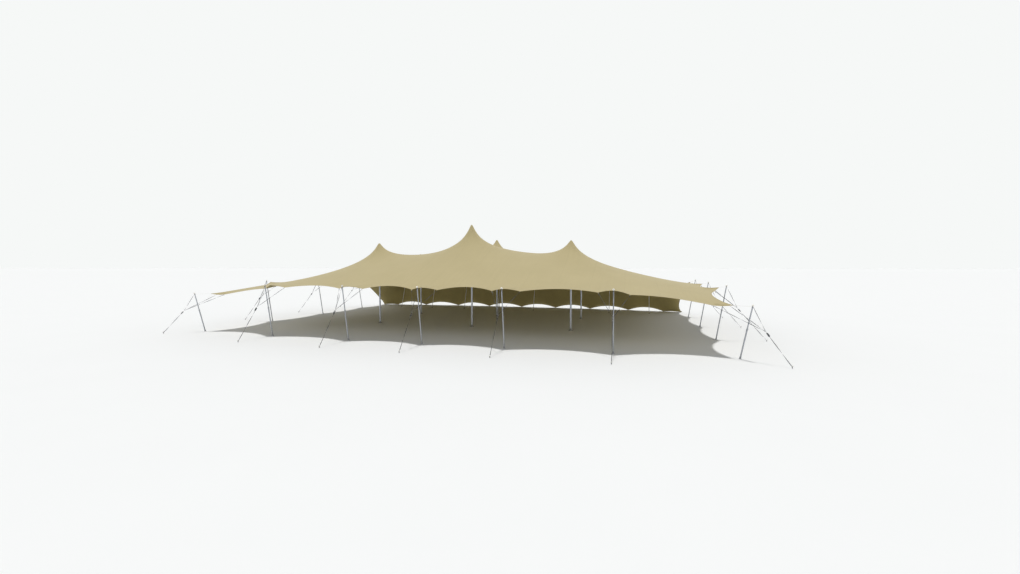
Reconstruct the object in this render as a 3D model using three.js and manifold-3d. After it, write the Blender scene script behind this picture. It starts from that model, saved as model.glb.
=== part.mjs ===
// Stretch tent: one sheet of stretch fabric over six king poles, held out at the front and at both
// ends by leaning edge poles with three-legged guys, and brought down to the ground along the back.
// Millimetres, +Z up, +X to the right seen from the open front, +Y to the closed back.
// The origin is on the ground at the middle of the footprint.

import * as THREE from 'three';
import { mergeVertices } from 'three/addons/utils/BufferGeometryUtils.js';
import Module from 'manifold-3d';

const wasm = await Module();
wasm.setup();

// King poles: two rows of three
const KING_PITCH = 6150;
const KING_ROWS = [
  { name: 'front', y: -2550, heights: { left: 5130, centre: 6150, right: 5130 } },
  { name: 'back', y: 3150, heights: { left: 4600, centre: 5590, right: 4600 } },
];
// The tallest pole stands a little to the right of the middle, and the sheet follows it
const PEAK_SHIFT = 160;
const PEAK_SHIFT_REACH = 5000;
const KING_SIDES = { left: -1, centre: 0, right: 1 };
const KING_RADIUS = 50;
const KING_HEAD_RADIUS = 85;
const KING_FOOT_RADIUS = 130;

// Edge poles: seven along the front and three along each end
const FRONT_POLE_X = [0, 4000, 8700, 13550];
const FRONT_ROW_Y = -8820;
const FRONT_ROW_BOW = 400;
const SIDE_POLE_X = 13550;
const SIDE_POLE_Y = [-3700, 1200, 6300];
const EDGE_POLE_TOP = 2740;
const EDGE_POLE_LEAN = 430;
const CORNER_POLE_TOP = 2190;
const CORNER_POLE_LEAN = 450;
const POLE_SECTION = { lower: 27, collar: 33, upper: 23, neck: 17, cap: 44 };
const POLE_COLLAR_SHARE = 0.53;
const POLE_COLLAR_LENGTH = 70;
const POLE_NECK_LENGTH = 60;
const POLE_CAP_LENGTH = 70;
const POLE_FOOT_RADIUS = 75;
const FOOT_THICKNESS = 12;

// Back props: thin poles under the fabric, halfway between the hem's pegs
const PROP_X = [-10620, -7600, -4520, -1430, 1660, 4760, 7860, 10920];
const PROP_BASE_Y = 8100;
const PROP_TOP_Y = 8850;
const PROP_TOP_Z = 2200;
const PROP_RADIUS = 21;

// Fabric edge: tips at the poles, a cusp each side of a tip, scallops between
const TIP_X = [0, 4000, 8700, 13300];
const TIP_Y = -8870;
const TIP_BOW = 650;
const TIP_Z = 2650;
const CORNER_TIP_Z = 2100;
const SIDE_TIP_X = 13640;
const SIDE_TIP_Z = [2600, 2600, 2530];
const CUSP_REACH = 660;
const FRONT_SCALLOP = 620;
const FRONT_DROP = 120;
const FRONT_ARCH = [150, 115, 65];
const SIDE_SCALLOP = [540, 420, 420];
const SIDE_DROP = [0, 75, 75, 75];
const SIDE_ARCH = [40, 0, 0];
const WING_SCALLOP = 430;
const WING_SAG = 250;

// Hem: low arches between the pegs that hold the back edge to the ground
const HEM_PEG_X = [0, 3100, 6150, 9360, 12050, 13300];
const HEM_CORNER_X = 13500;
const HEM_Y = 10860;
const HEM_BOW = 990;
const HEM_ARCH = 300;
const HEM_ARCH_LAST = 40;
const HEM_ARCH_PULL = 150;

// Fabric solid: thicker than the real cloth, measured up from its underside
const FABRIC_THICKNESS = 20;
const GAP = 0.3;
const RIM_GAP = 0.45;

// Tension field of the sheet: softness of each kind of support
const PEAK_ROUND = 80;
const KING_SOFTNESS = 140;
const PROP_SOFTNESS = 500;
const RIM_SOFTNESS = 900;

// Mesh of the sheet: how far the edge shapes reach in, and the largest step
const FRONT_REACH = 5000;
const BACK_REACH = 3500;
const SIDE_REACH = 3500;
const HALF_WIDTH = 13300;
const PEAK_RINGS = [150, 420];
const STEP = 760;

// Guys: two cusp legs and a head leg meet at a joint, one strap runs on to the peg
const STRAP_RADIUS = 10;
const STRAP_SIDES = 6;
const GUY_RING_RADIUS = 38;
const GUY_JOINT = { out: 500, z: 1600 };
const CORNER_JOINT = { out: 480, z: 1200 };
const FRONT_PEG_OUT = 2070;
const SIDE_PEG_OUT = 2250;
const CORNER_PEG = { x: 1400, y: -1230 };
const RATCHET = { along: 60, length: 170, width: 62, height: 46 };
const PEG_RADIUS = 15;
const PEG_HEIGHT = 100;
const PEG_HEAD_RADIUS = 27;
const PEG_HEAD_LENGTH = 22;
const PEG_LEAN = 0.22;
const PEG_LOOP_Z = 40;

// Hem rope: its distance from the cloth, and where its lengths begin and end
const HEM_ROPE_RADIUS = 9;
const HEM_ROPE_CLEARANCE = -0.25;
const HEM_LINE_ENDS = [-14000, -6190, -40, 6190, 14000];

const SAND = new THREE.MeshStandardMaterial({ color: 0xc2b58c, roughness: 0.85, metalness: 0 });
const ALUMINIUM = new THREE.MeshStandardMaterial({ color: 0xb9bec2, roughness: 0.35, metalness: 0.9 });
const WEBBING = new THREE.MeshStandardMaterial({ color: 0x8b8d8f, roughness: 0.8, metalness: 0 });

const vec = (x, y, z) => new THREE.Vector3(x, y, z);
const TWIST = 0.11;
const clamp01 = (t) => Math.min(1, Math.max(0, t));
const parabola = (t) => 1 - (2 * t - 1) ** 2;

// Solids and booleans
function toManifold(geometry) {
  const bare = geometry.clone();
  bare.deleteAttribute('normal');
  bare.deleteAttribute('uv');
  const merged = mergeVertices(bare, 1e-3);
  return new wasm.Manifold(new wasm.Mesh({
    numProp: 3,
    vertProperties: new Float32Array(merged.attributes.position.array),
    triVerts: new Uint32Array(merged.index.array),
  }));
}

function toGeometry(solid) {
  const mesh = solid.getMesh();
  const geometry = new THREE.BufferGeometry();
  geometry.setAttribute('position', new THREE.BufferAttribute(mesh.vertProperties, 3));
  geometry.setIndex(new THREE.BufferAttribute(mesh.triVerts, 1));
  geometry.computeVertexNormals();
  return geometry;
}

function union(solids) {
  return solids.reduce((sum, solid) => sum.add(solid));
}

// Everything under the ground, cut away from feet and pegs
const GROUND = toManifold(new THREE.BoxGeometry(40000, 30000, 1000).translate(0, 0, -500));

// A turned piece on the line from one point to another; profile is [radius, distance] pairs.
// The small twist keeps its corners off the sheet's grid lines, so that cuts leave no slivers.
function turned(from, to, profile, sides = 10) {
  const along = to.clone().sub(from);
  const length = along.length();
  const points = profile.map(([radius, at]) => new THREE.Vector2(radius, at === 'end' ? length : at));
  const geometry = new THREE.LatheGeometry(points, sides);
  geometry.rotateX(Math.PI / 2);
  geometry.rotateZ(TWIST);
  const turn = new THREE.Quaternion().setFromUnitVectors(vec(0, 0, 1), along.normalize());
  geometry.applyQuaternion(turn);
  geometry.translate(from.x, from.y, from.z);
  return toManifold(geometry);
}

function rod(from, to, radius, sides = 10) {
  return turned(from, to, [[0, 0], [radius, 0], [radius, 'end'], [0, 'end']], sides);
}

// Fabric edge curves

// Which pair of stations holds a place, and how far along between them
function bayAt(place, stations) {
  let k = 0;
  while (k < stations.length - 2 && place > stations[k + 1]) k += 1;
  return { k, t: (place - stations[k]) / (stations[k + 1] - stations[k]) };
}

// Height of the edge over the straight line from tip to tip, from the distances to both tips:
// down evenly from each tip to its cusp, and a parabolic arch from cusp to cusp
function scallop(toStart, toEnd, dropStart, dropEnd, arch) {
  const share = clamp01((toStart - CUSP_REACH) / (toStart + toEnd - 2 * CUSP_REACH));
  const drop = dropStart + (dropEnd - dropStart) * share;
  return arch * parabola(share) - drop * clamp01(Math.min(toStart, toEnd) / CUSP_REACH);
}

const tipY = (x) => TIP_Y + TIP_BOW * (x / HALF_WIDTH) ** 4;

// Front edge at a distance x from the middle: chord between tips, pushed in and scalloped
function frontEdge(x) {
  const { k, t } = bayAt(x, TIP_X);
  const [x0, x1] = [TIP_X[k], TIP_X[k + 1]];
  const z1 = k === TIP_X.length - 2 ? CORNER_TIP_Z : TIP_Z;
  const y = tipY(x0) + (tipY(x1) - tipY(x0)) * t + FRONT_SCALLOP * parabola(t);
  const z = TIP_Z + (z1 - TIP_Z) * t + scallop(x - x0, x1 - x, FRONT_DROP, FRONT_DROP, FRONT_ARCH[k]);
  return { y, z };
}

// Hem at a distance x from the middle: low arches between the pegs
function hemEdge(x) {
  const { k, t } = bayAt(x, HEM_PEG_X);
  const arch = k === HEM_PEG_X.length - 2 ? HEM_ARCH_LAST : HEM_ARCH;
  const hemLine = (at) => HEM_Y - HEM_BOW * (at / HEM_PEG_X.at(-1)) ** 3;
  const [y0, y1] = [hemLine(HEM_PEG_X[k]), hemLine(HEM_PEG_X[k + 1])];
  return {
    y: y0 + (y1 - y0) * t - HEM_ARCH_PULL * (arch / HEM_ARCH) * parabola(t),
    z: arch * parabola(t),
  };
}

// End edge at a depth y: scallops between the tips, then a wing that falls to the ground corner
const END_Y = [tipY(HALF_WIDTH), ...SIDE_POLE_Y, hemEdge(HEM_PEG_X.at(-1)).y];
const END_X = [HALF_WIDTH, SIDE_TIP_X, SIDE_TIP_X, SIDE_TIP_X, HEM_CORNER_X];
const END_Z = [CORNER_TIP_Z, ...SIDE_TIP_Z, 0];

function endEdge(y) {
  const { k, t: raw } = bayAt(y, END_Y);
  const t = clamp01(raw);
  const isWing = k === END_Y.length - 2;
  const chordX = END_X[k] + (END_X[k + 1] - END_X[k]) * t;
  const chordZ = END_Z[k] + (END_Z[k + 1] - END_Z[k]) * t;
  if (isWing) {
    return { x: chordX - WING_SCALLOP * parabola(t), z: chordZ - WING_SAG * Math.sin(Math.PI * t) };
  }
  const span = END_Y[k + 1] - END_Y[k];
  return {
    x: chordX - SIDE_SCALLOP[k] * parabola(t),
    z: chordZ + scallop(t * span, (1 - t) * span, SIDE_DROP[k], SIDE_DROP[k + 1], SIDE_ARCH[k]),
  };
}

// Tension field: a sheet's height is a sum of log wells, one for each point that carries it

function bothSides(points) {
  return points.flatMap((p) => (Math.abs(p.x) < 1 ? [p] : [p, { ...p, x: -p.x }]));
}

// Stations along an edge: every given point, with the gaps filled to a largest step
function stations(points, step) {
  const sorted = [...new Set(points)].sort((a, b) => a - b);
  const filled = [sorted[0]];
  for (const next of sorted.slice(1)) {
    const last = filled.at(-1);
    const pieces = Math.ceil((next - last) / step - 1e-9);
    for (let i = 1; i <= pieces; i += 1) filled.push(last + ((next - last) * i) / pieces);
  }
  return filled;
}

const aroundTips = (tips) => tips.flatMap((t) => [t - CUSP_REACH, t, t + CUSP_REACH]);
const within = (low, high) => (v) => v >= low - 1e-6 && v <= high + 1e-6;

const KINGS = KING_ROWS.flatMap((row) => Object.entries(KING_SIDES).map(([side, sign]) => ({
  name: `king_pole_${row.name}_${side}`,
  x: sign * KING_PITCH + (row.name === 'front' && side === 'centre' ? PEAK_SHIFT : 0),
  y: row.y,
  height: row.heights[side],
})));

function supports() {
  const kings = KINGS.map((king) => ({ ...king, z: king.height, soft: KING_SOFTNESS }));
  const props = PROP_X.map((x) => ({ x, y: PROP_TOP_Y, z: PROP_TOP_Z, soft: PROP_SOFTNESS }));
  const frontX = stations(aroundTips(TIP_X).filter(within(0, HALF_WIDTH)), 1300);
  const front = frontX.map((x) => ({ x, ...frontEdge(x), soft: RIM_SOFTNESS }));
  const endY = stations([...END_Y, ...aroundTips(SIDE_POLE_Y)], 1300).slice(1, -1);
  const ends = endY.map((y) => ({ ...endEdge(y), y, soft: RIM_SOFTNESS }));
  const hemX = stations(HEM_PEG_X, 1600);
  const hem = hemX.map((x) => ({ x, ...hemEdge(x), soft: RIM_SOFTNESS }));
  return [...kings, ...props, ...bothSides([...front, ...ends, ...hem])];
}

const well = (distance, softness) => -Math.log((Math.hypot(distance, PEAK_ROUND) + softness) / 1000);

// Gaussian elimination with row exchange
function solve(matrix, right) {
  const n = right.length;
  const rows = matrix.map((row, i) => [...row, right[i]]);
  for (let c = 0; c < n; c += 1) {
    let best = c;
    for (let r = c + 1; r < n; r += 1) if (Math.abs(rows[r][c]) > Math.abs(rows[best][c])) best = r;
    [rows[c], rows[best]] = [rows[best], rows[c]];
    for (let r = c + 1; r < n; r += 1) {
      const factor = rows[r][c] / rows[c][c];
      for (let k = c; k <= n; k += 1) rows[r][k] -= factor * rows[c][k];
    }
  }
  const result = new Array(n).fill(0);
  for (let r = n - 1; r >= 0; r -= 1) {
    let sum = rows[r][n];
    for (let k = r + 1; k < n; k += 1) sum -= rows[r][k] * result[k];
    result[r] = sum / rows[r][r];
  }
  return result;
}

const SUPPORTS = supports();
const WEIGHTS = solve(
  [
    ...SUPPORTS.map((p) => [...SUPPORTS.map((q) => well(Math.hypot(p.x - q.x, p.y - q.y), q.soft)), 1]),
    [...SUPPORTS.map(() => 1), 0],
  ],
  [...SUPPORTS.map((p) => p.z), 0],
);

function fieldHeight(x, y) {
  const wells = SUPPORTS.map((q, i) => WEIGHTS[i] * well(Math.hypot(x - q.x, y - q.y), q.soft));
  return wells.reduce((sum, w) => sum + w, WEIGHTS.at(-1));
}

// Sheet grid: a rectangle whose edges are bent to the edge curves, the bend fading inwards

const fade = (distance, reach) => clamp01(1 - distance / reach) ** 2;
const BACK_LINE = HEM_Y;

function bend(x, y) {
  const a = Math.abs(x);
  const side = Math.sign(x);
  const atFront = fade(y - TIP_Y, FRONT_REACH);
  const atBack = fade(BACK_LINE - y, BACK_REACH);
  const depth = y + (frontEdge(a).y - TIP_Y) * atFront + (hemEdge(a).y - BACK_LINE) * atBack;
  const atEnd = fade(HALF_WIDTH - a, SIDE_REACH);
  const atPeak = fade(Math.hypot(x, y - KING_ROWS[0].y), PEAK_SHIFT_REACH);
  return { x: x + side * (endEdge(depth).x - HALF_WIDTH) * atEnd + PEAK_SHIFT * atPeak, y: depth };
}

// How far the field misses the edge curves: along front and hem at x, along the ends at y
function missAlong(x, y, edgeZ) {
  const p = bend(x, y);
  return edgeZ(p) - fieldHeight(p.x, p.y);
}

const frontMiss = (x) => missAlong(x, TIP_Y, () => frontEdge(Math.abs(x)).z);
const backMiss = (x) => missAlong(x, BACK_LINE, () => hemEdge(Math.abs(x)).z);
const endMiss = (y) => missAlong(HALF_WIDTH, y, (p) => endEdge(p.y).z);
const CORNER_MISS = { front: frontMiss(HALF_WIDTH), back: backMiss(HALF_WIDTH) };

// Underside of the sheet at a place on the flat rectangle
function sheetPoint(x, y) {
  const p = bend(x, y);
  const atFront = fade(y - TIP_Y, FRONT_REACH / 2);
  const atBack = fade(BACK_LINE - y, BACK_REACH / 2);
  const atEnd = fade(HALF_WIDTH - Math.abs(x), SIDE_REACH / 2);
  const z = fieldHeight(p.x, p.y)
    + frontMiss(x) * atFront
    + backMiss(x) * atBack
    + (endMiss(y) - CORNER_MISS.front * atFront - CORNER_MISS.back * atBack) * atEnd;
  return vec(p.x, p.y, z);
}

const ringed = (centre) => [centre, ...PEAK_RINGS.flatMap((r) => [centre - r, centre + r])];
const HALF_COLUMNS = stations([
  ...aroundTips(TIP_X),
  ...ringed(0),
  ...ringed(KING_PITCH),
  ...HEM_PEG_X.slice(0, -1),
].filter(within(0, HALF_WIDTH)), STEP);
const COLUMNS = [...HALF_COLUMNS.slice(1).reverse().map((x) => -x), ...HALF_COLUMNS];
const ROWS = stations([
  TIP_Y, TIP_Y + CUSP_REACH, BACK_LINE, PROP_TOP_Y,
  ...aroundTips(SIDE_POLE_Y),
  ...KING_ROWS.flatMap((row) => ringed(row.y)),
], STEP);
const GRID = ROWS.map((y) => COLUMNS.map((x) => sheetPoint(x, y)));

// Upward normal at each grid point, from its neighbours
function gridNormal(i, j) {
  const across = GRID[i][Math.min(j + 1, COLUMNS.length - 1)].clone().sub(GRID[i][Math.max(j - 1, 0)]);
  const along = GRID[Math.min(i + 1, ROWS.length - 1)][j].clone().sub(GRID[Math.max(i - 1, 0)][j]);
  return across.cross(along).normalize();
}

// Closed solid between the sheet lowered by `below` and raised by `raise(point, normal)`,
// with its edge moved outwards by `outset`
function sheetSolid(below, raise, outset) {
  const [rows, columns] = [ROWS.length, COLUMNS.length];
  const low = [];
  const high = [];
  for (let i = 0; i < rows; i += 1) {
    for (let j = 0; j < columns; j += 1) {
      const p = GRID[i][j].clone();
      const normal = gridNormal(i, j);
      if (i === 0) p.y -= outset;
      if (i === rows - 1) p.y += outset;
      if (j === 0) p.x -= outset;
      if (j === columns - 1) p.x += outset;
      low.push(p.clone().addScaledVector(normal, -below));
      high.push(raise(p, normal));
    }
  }
  const at = (i, j) => i * columns + j;
  const top = rows * columns;
  const index = [];
  for (let i = 0; i < rows - 1; i += 1) {
    for (let j = 0; j < columns - 1; j += 1) {
      const [a, b, c, d] = [at(i, j), at(i, j + 1), at(i + 1, j + 1), at(i + 1, j)];
      index.push(a, d, c, a, c, b);
      index.push(top + a, top + b, top + c, top + a, top + c, top + d);
    }
  }
  const wall = (a, b) => index.push(a, b, top + b, a, top + b, top + a);
  for (let j = 0; j < columns - 1; j += 1) {
    wall(at(0, j), at(0, j + 1));
    wall(at(rows - 1, j + 1), at(rows - 1, j));
  }
  for (let i = 0; i < rows - 1; i += 1) {
    wall(at(i + 1, 0), at(i, 0));
    wall(at(i, columns - 1), at(i + 1, columns - 1));
  }
  const geometry = new THREE.BufferGeometry();
  const position = [...low, ...high].flatMap((p) => [p.x, p.y, p.z]);
  geometry.setAttribute('position', new THREE.Float32BufferAttribute(position, 3));
  geometry.setIndex(index);
  return geometry;
}

const thicken = (amount) => (p, normal) => p.clone().addScaledVector(normal, amount);
const FABRIC_SPACE = toManifold(sheetSolid(GAP, thicken(FABRIC_THICKNESS + GAP), RIM_GAP));
const ABOVE_FABRIC = toManifold(sheetSolid(GAP, (p) => vec(p.x, p.y, p.z + 900), RIM_GAP));

// Poles

function foot(at, radius) {
  return rod(vec(at.x, at.y, 0), vec(at.x, at.y, FOOT_THICKNESS), radius, 12);
}

// King pole: straight tube with a domed head under the peak and a round foot plate
function kingPole(x, y, height) {
  const pole = turned(vec(x, y, 0), vec(x, y, height + 20), [
    [0, 0], [KING_FOOT_RADIUS, 0], [KING_FOOT_RADIUS, FOOT_THICKNESS], [KING_RADIUS, FOOT_THICKNESS],
    [KING_RADIUS, height - 300], [KING_HEAD_RADIUS, height - 180], [KING_HEAD_RADIUS, height - 60],
    [KING_RADIUS, height], [0, 'end'],
  ], 16);
  return pole.subtract(ABOVE_FABRIC);
}

// Where a leaning pole's length is measured: base, outward direction, top of its cap
function leaningPole(base, outward, lean, top) {
  const head = base.clone().addScaledVector(outward, lean).setZ(top);
  const axis = head.clone().sub(base).normalize();
  const length = head.distanceTo(base);
  const neckAt = length - POLE_CAP_LENGTH - POLE_NECK_LENGTH / 2;
  return { base, outward, head, axis, length, neck: base.clone().addScaledVector(axis, neckAt) };
}

// Edge pole: two tubes with a collar where they telescope, a neck for the guy and a rounded cap
function edgePole(pole) {
  const below = 60;
  const from = pole.base.clone().addScaledVector(pole.axis, -below);
  const { lower, collar, upper, neck, cap } = POLE_SECTION;
  const collarAt = below + pole.length * POLE_COLLAR_SHARE;
  const capAt = below + pole.length - POLE_CAP_LENGTH;
  const neckAt = capAt - POLE_NECK_LENGTH;
  const tube = turned(from, pole.head, [
    [0, 0], [lower, 0], [lower, collarAt], [collar, collarAt], [collar, collarAt + POLE_COLLAR_LENGTH],
    [upper, collarAt + POLE_COLLAR_LENGTH], [upper, neckAt], [neck, neckAt], [neck, capAt],
    [cap, capAt], [cap, capAt + POLE_CAP_LENGTH * 0.45], [cap * 0.62, capAt + POLE_CAP_LENGTH * 0.85],
    [0, 'end'],
  ]);
  return union([tube, foot(pole.base, POLE_FOOT_RADIUS)]).subtract(GROUND).subtract(ABOVE_FABRIC);
}

// Back prop: thin pole leaning out to the fabric that it pushes up
function backProp(x) {
  const base = vec(x, PROP_BASE_Y, 0);
  const top = vec(x, PROP_TOP_Y, PROP_TOP_Z);
  const axis = top.clone().sub(base).normalize();
  const tube = rod(base.clone().addScaledVector(axis, -60), top.clone().addScaledVector(axis, 60), PROP_RADIUS);
  return union([tube, foot(base, POLE_FOOT_RADIUS)]).subtract(GROUND).subtract(ABOVE_FABRIC);
}

// Guys

function peg(at, outward) {
  const lean = outward.clone().multiplyScalar(PEG_LEAN * PEG_HEIGHT);
  const top = at.clone().add(lean).setZ(PEG_HEIGHT);
  const low = at.clone().addScaledVector(outward, -PEG_LEAN * 40).setZ(-40);
  const neckLength = low.distanceTo(top) - PEG_HEAD_LENGTH;
  return turned(low, top, [
    [0, 0], [PEG_RADIUS, 0], [PEG_RADIUS, neckLength], [PEG_HEAD_RADIUS, neckLength],
    [PEG_HEAD_RADIUS, 'end'], [0, 'end'],
  ], 8);
}

function guy(pole, tip, cusps, joint, pegAt) {
  const ringHalf = 14;
  const ringFrom = pole.neck.clone().addScaledVector(pole.axis, -ringHalf);
  const ringTo = pole.neck.clone().addScaledVector(pole.axis, ringHalf);
  const inner = POLE_SECTION.neck + GAP + 0.2;
  const ring = turned(ringFrom, ringTo, [
    [inner, 0], [GUY_RING_RADIUS, 0], [GUY_RING_RADIUS, 'end'], [inner, 'end'], [inner, 0],
  ]);
  const middle = FABRIC_THICKNESS / 2;
  const fromRing = (target) => {
    const way = target.clone().sub(pole.neck);
    way.addScaledVector(pole.axis, -way.dot(pole.axis)).normalize();
    const start = pole.neck.clone().addScaledVector(way, GUY_RING_RADIUS - 8);
    return rod(start, target, STRAP_RADIUS, STRAP_SIDES);
  };
  const loop = pegAt.clone().addScaledVector(pole.outward, PEG_LEAN * PEG_LOOP_Z).setZ(PEG_LOOP_Z);
  const down = loop.clone().sub(joint).normalize();
  const buckleFrom = joint.clone().addScaledVector(down, RATCHET.along);
  const buckleTo = buckleFrom.clone().addScaledVector(down, RATCHET.length);
  const buckle = new THREE.BoxGeometry(RATCHET.width, RATCHET.height, RATCHET.length);
  buckle.applyQuaternion(new THREE.Quaternion().setFromUnitVectors(vec(0, 0, 1), down));
  const centre = buckleFrom.clone().add(buckleTo).multiplyScalar(0.5);
  buckle.translate(centre.x, centre.y, centre.z);
  const knot = new THREE.IcosahedronGeometry(STRAP_RADIUS * 2, 0).translate(joint.x, joint.y, joint.z);
  const legs = cusps.map((cusp) => rod(joint, cusp.clone().setZ(cusp.z + middle), STRAP_RADIUS, STRAP_SIDES));
  return union([
    ring,
    fromRing(tip.clone().setZ(tip.z + middle)),
    fromRing(joint),
    ...legs,
    toManifold(knot),
    rod(joint, loop, STRAP_RADIUS, STRAP_SIDES),
    toManifold(buckle),
    peg(pegAt, pole.outward),
  ]).subtract(GROUND).subtract(FABRIC_SPACE);
}

// Hem line: the rope along the ground edge of the fabric, with its pegs, in lengths end to end
function hemLines() {
  const last = ROWS.length - 1;
  const points = COLUMNS.map((_, j) => {
    const upper = GRID[last][j].clone().addScaledVector(gridNormal(last, j), FABRIC_THICKNESS);
    const z = Math.max(HEM_ROPE_RADIUS, upper.z - 3);
    return vec(upper.x, upper.y + HEM_ROPE_RADIUS + HEM_ROPE_CLEARANCE, z);
  });
  const corners = Array.from({ length: STRAP_SIDES }, (_, s) => {
    const angle = (s * 2 * Math.PI) / STRAP_SIDES;
    return new THREE.Vector2(HEM_ROPE_RADIUS * Math.cos(angle), HEM_ROPE_RADIUS * Math.sin(angle));
  });
  const section = new THREE.Shape(corners);
  const path = new THREE.CatmullRomCurve3(points, false, 'centripetal');
  // One step for each point, so that the rope stays on the fabric's edge
  path.getUtoTmapping = (u) => u;
  const steps = points.length - 1;
  const rope = new THREE.ExtrudeGeometry(section, { steps, extrudePath: path, bevelEnabled: false });
  const pegs = bothSides(HEM_PEG_X.map((x) => {
    const p = points[columnAt(x)];
    return { x: p.x, y: p.y + PEG_RADIUS / 2 };
  }));
  const whole = union([
    toManifold(rope),
    ...pegs.map((p) => peg(vec(p.x, p.y, 0), vec(0, 1, 0))),
  ]).subtract(GROUND);
  return HEM_LINE_ENDS.slice(1).map((to, n) => {
    const from = HEM_LINE_ENDS[n];
    const span = new THREE.BoxGeometry(to - from - GAP, 2000, 2000);
    return whole.intersect(toManifold(span.translate((from + to) / 2, HEM_Y - HEM_BOW / 2, 0)));
  });
}

// Assembly

const tent = new THREE.Group();

function addNode(name, geometry, material) {
  const mesh = new THREE.Mesh(geometry, material);
  mesh.name = name;
  tent.add(mesh);
}

// A leaning pole and its guy; x and y are the foot, joint and peg are measured outwards from it
function addEdgePole(name, base, outward, size, tip, cusps, pegAt) {
  const pole = leaningPole(base, outward, size.lean, size.top);
  const joint = pole.head.clone().addScaledVector(outward, size.joint.out).setZ(size.joint.z);
  addNode(`${name.replace('#', 'pole')}`, toGeometry(edgePole(pole)), ALUMINIUM);
  addNode(`${name.replace('#', 'guy')}`, toGeometry(guy(pole, tip, cusps, joint, pegAt)), WEBBING);
}

const EDGE_SIZE = { lean: EDGE_POLE_LEAN, top: EDGE_POLE_TOP, joint: GUY_JOINT };
const CORNER_SIZE = { lean: CORNER_POLE_LEAN, top: CORNER_POLE_TOP, joint: CORNER_JOINT };

const footY = (x) => FRONT_ROW_Y + FRONT_ROW_BOW * (x / SIDE_POLE_X) ** 2;
const columnAt = (x) => COLUMNS.findIndex((c) => Math.abs(c - x) < 1);
const rowAt = (y) => ROWS.findIndex((r) => Math.abs(r - y) < 1);

function addFrontRow() {
  const places = [...FRONT_POLE_X.slice(1).reverse().map((x) => [-1, x]), ...FRONT_POLE_X.map((x) => [1, x])];
  places.forEach(([side, x], n) => {
    const isCorner = x === FRONT_POLE_X.at(-1);
    const base = vec(side * x, footY(x), 0);
    const tipX = side * TIP_X[FRONT_POLE_X.indexOf(x)];
    const tip = GRID[0][columnAt(tipX)];
    const inner = GRID[0][columnAt(tipX - side * CUSP_REACH)];
    if (isCorner) {
      const toPeg = vec(side * CORNER_PEG.x, CORNER_PEG.y, 0);
      const outer = GRID[rowAt(TIP_Y + CUSP_REACH)][columnAt(side * HALF_WIDTH)];
      const pegAt = base.clone().add(toPeg);
      addEdgePole(`front_#_${n + 1}`, base, toPeg.normalize(), CORNER_SIZE, tip, [inner, outer], pegAt);
      return;
    }
    const outer = GRID[0][columnAt(tipX + side * CUSP_REACH)];
    const pegAt = vec(base.x, base.y - FRONT_PEG_OUT, 0);
    addEdgePole(`front_#_${n + 1}`, base, vec(0, -1, 0), EDGE_SIZE, tip, [inner, outer], pegAt);
  });
}

function addEndRow(side, name) {
  SIDE_POLE_Y.forEach((y, n) => {
    const base = vec(side * SIDE_POLE_X, y, 0);
    const column = columnAt(side * HALF_WIDTH);
    const tip = GRID[rowAt(y)][column];
    const cusps = [y - CUSP_REACH, y + CUSP_REACH].map((at) => GRID[rowAt(at)][column]);
    const pegAt = vec(side * (SIDE_POLE_X + SIDE_PEG_OUT), y, 0);
    addEdgePole(`${name}_#_${n + 1}`, base, vec(side, 0, 0), EDGE_SIZE, tip, cusps, pegAt);
  });
}

addNode('canopy', sheetSolid(0, thicken(FABRIC_THICKNESS), 0), SAND);
for (const king of KINGS) addNode(king.name, toGeometry(kingPole(king.x, king.y, king.height)), ALUMINIUM);
addFrontRow();
addEndRow(-1, 'left');
addEndRow(1, 'right');
PROP_X.forEach((x, n) => addNode(`back_prop_${n + 1}`, toGeometry(backProp(x)), ALUMINIUM));
hemLines().forEach((line, n) => addNode(`hem_line_${n + 1}`, toGeometry(line), WEBBING));

export default tent;
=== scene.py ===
import math

import bmesh
import bpy
import numpy as np
from mathutils import Matrix, Vector


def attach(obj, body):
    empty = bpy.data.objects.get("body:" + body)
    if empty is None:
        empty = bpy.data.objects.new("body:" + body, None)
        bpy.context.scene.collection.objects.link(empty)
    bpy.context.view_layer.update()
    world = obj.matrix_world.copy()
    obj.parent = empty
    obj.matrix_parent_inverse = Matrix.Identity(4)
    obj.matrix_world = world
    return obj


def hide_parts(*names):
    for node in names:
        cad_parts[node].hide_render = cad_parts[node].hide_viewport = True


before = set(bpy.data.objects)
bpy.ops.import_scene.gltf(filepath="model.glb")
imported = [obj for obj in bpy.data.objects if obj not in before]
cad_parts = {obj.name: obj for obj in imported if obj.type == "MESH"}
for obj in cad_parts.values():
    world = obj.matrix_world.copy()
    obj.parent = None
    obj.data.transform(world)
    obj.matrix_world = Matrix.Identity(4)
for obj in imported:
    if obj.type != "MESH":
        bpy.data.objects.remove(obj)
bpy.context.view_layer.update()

# Lengths in metres. x runs to the right along the open front, y to the closed back, z up.

# King poles: foot x, foot y, height of the sheet's underside over them
KING_POLES = {
    "king_pole_front_left": (-6.15, -2.55, 5.13),
    "king_pole_front_centre": (0.16, -2.55, 6.15),
    "king_pole_front_right": (6.15, -2.55, 5.13),
    "king_pole_back_left": (-6.15, 3.15, 4.60),
    "king_pole_back_centre": (0.0, 3.15, 5.59),
    "king_pole_back_right": (6.15, 3.15, 4.60),
}
PEAK_SHIFT, PEAK_SHIFT_REACH = 0.16, 5.0
KING_PITCH, KING_ROW_Y = 6.15, (-2.55, 3.15)

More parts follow.
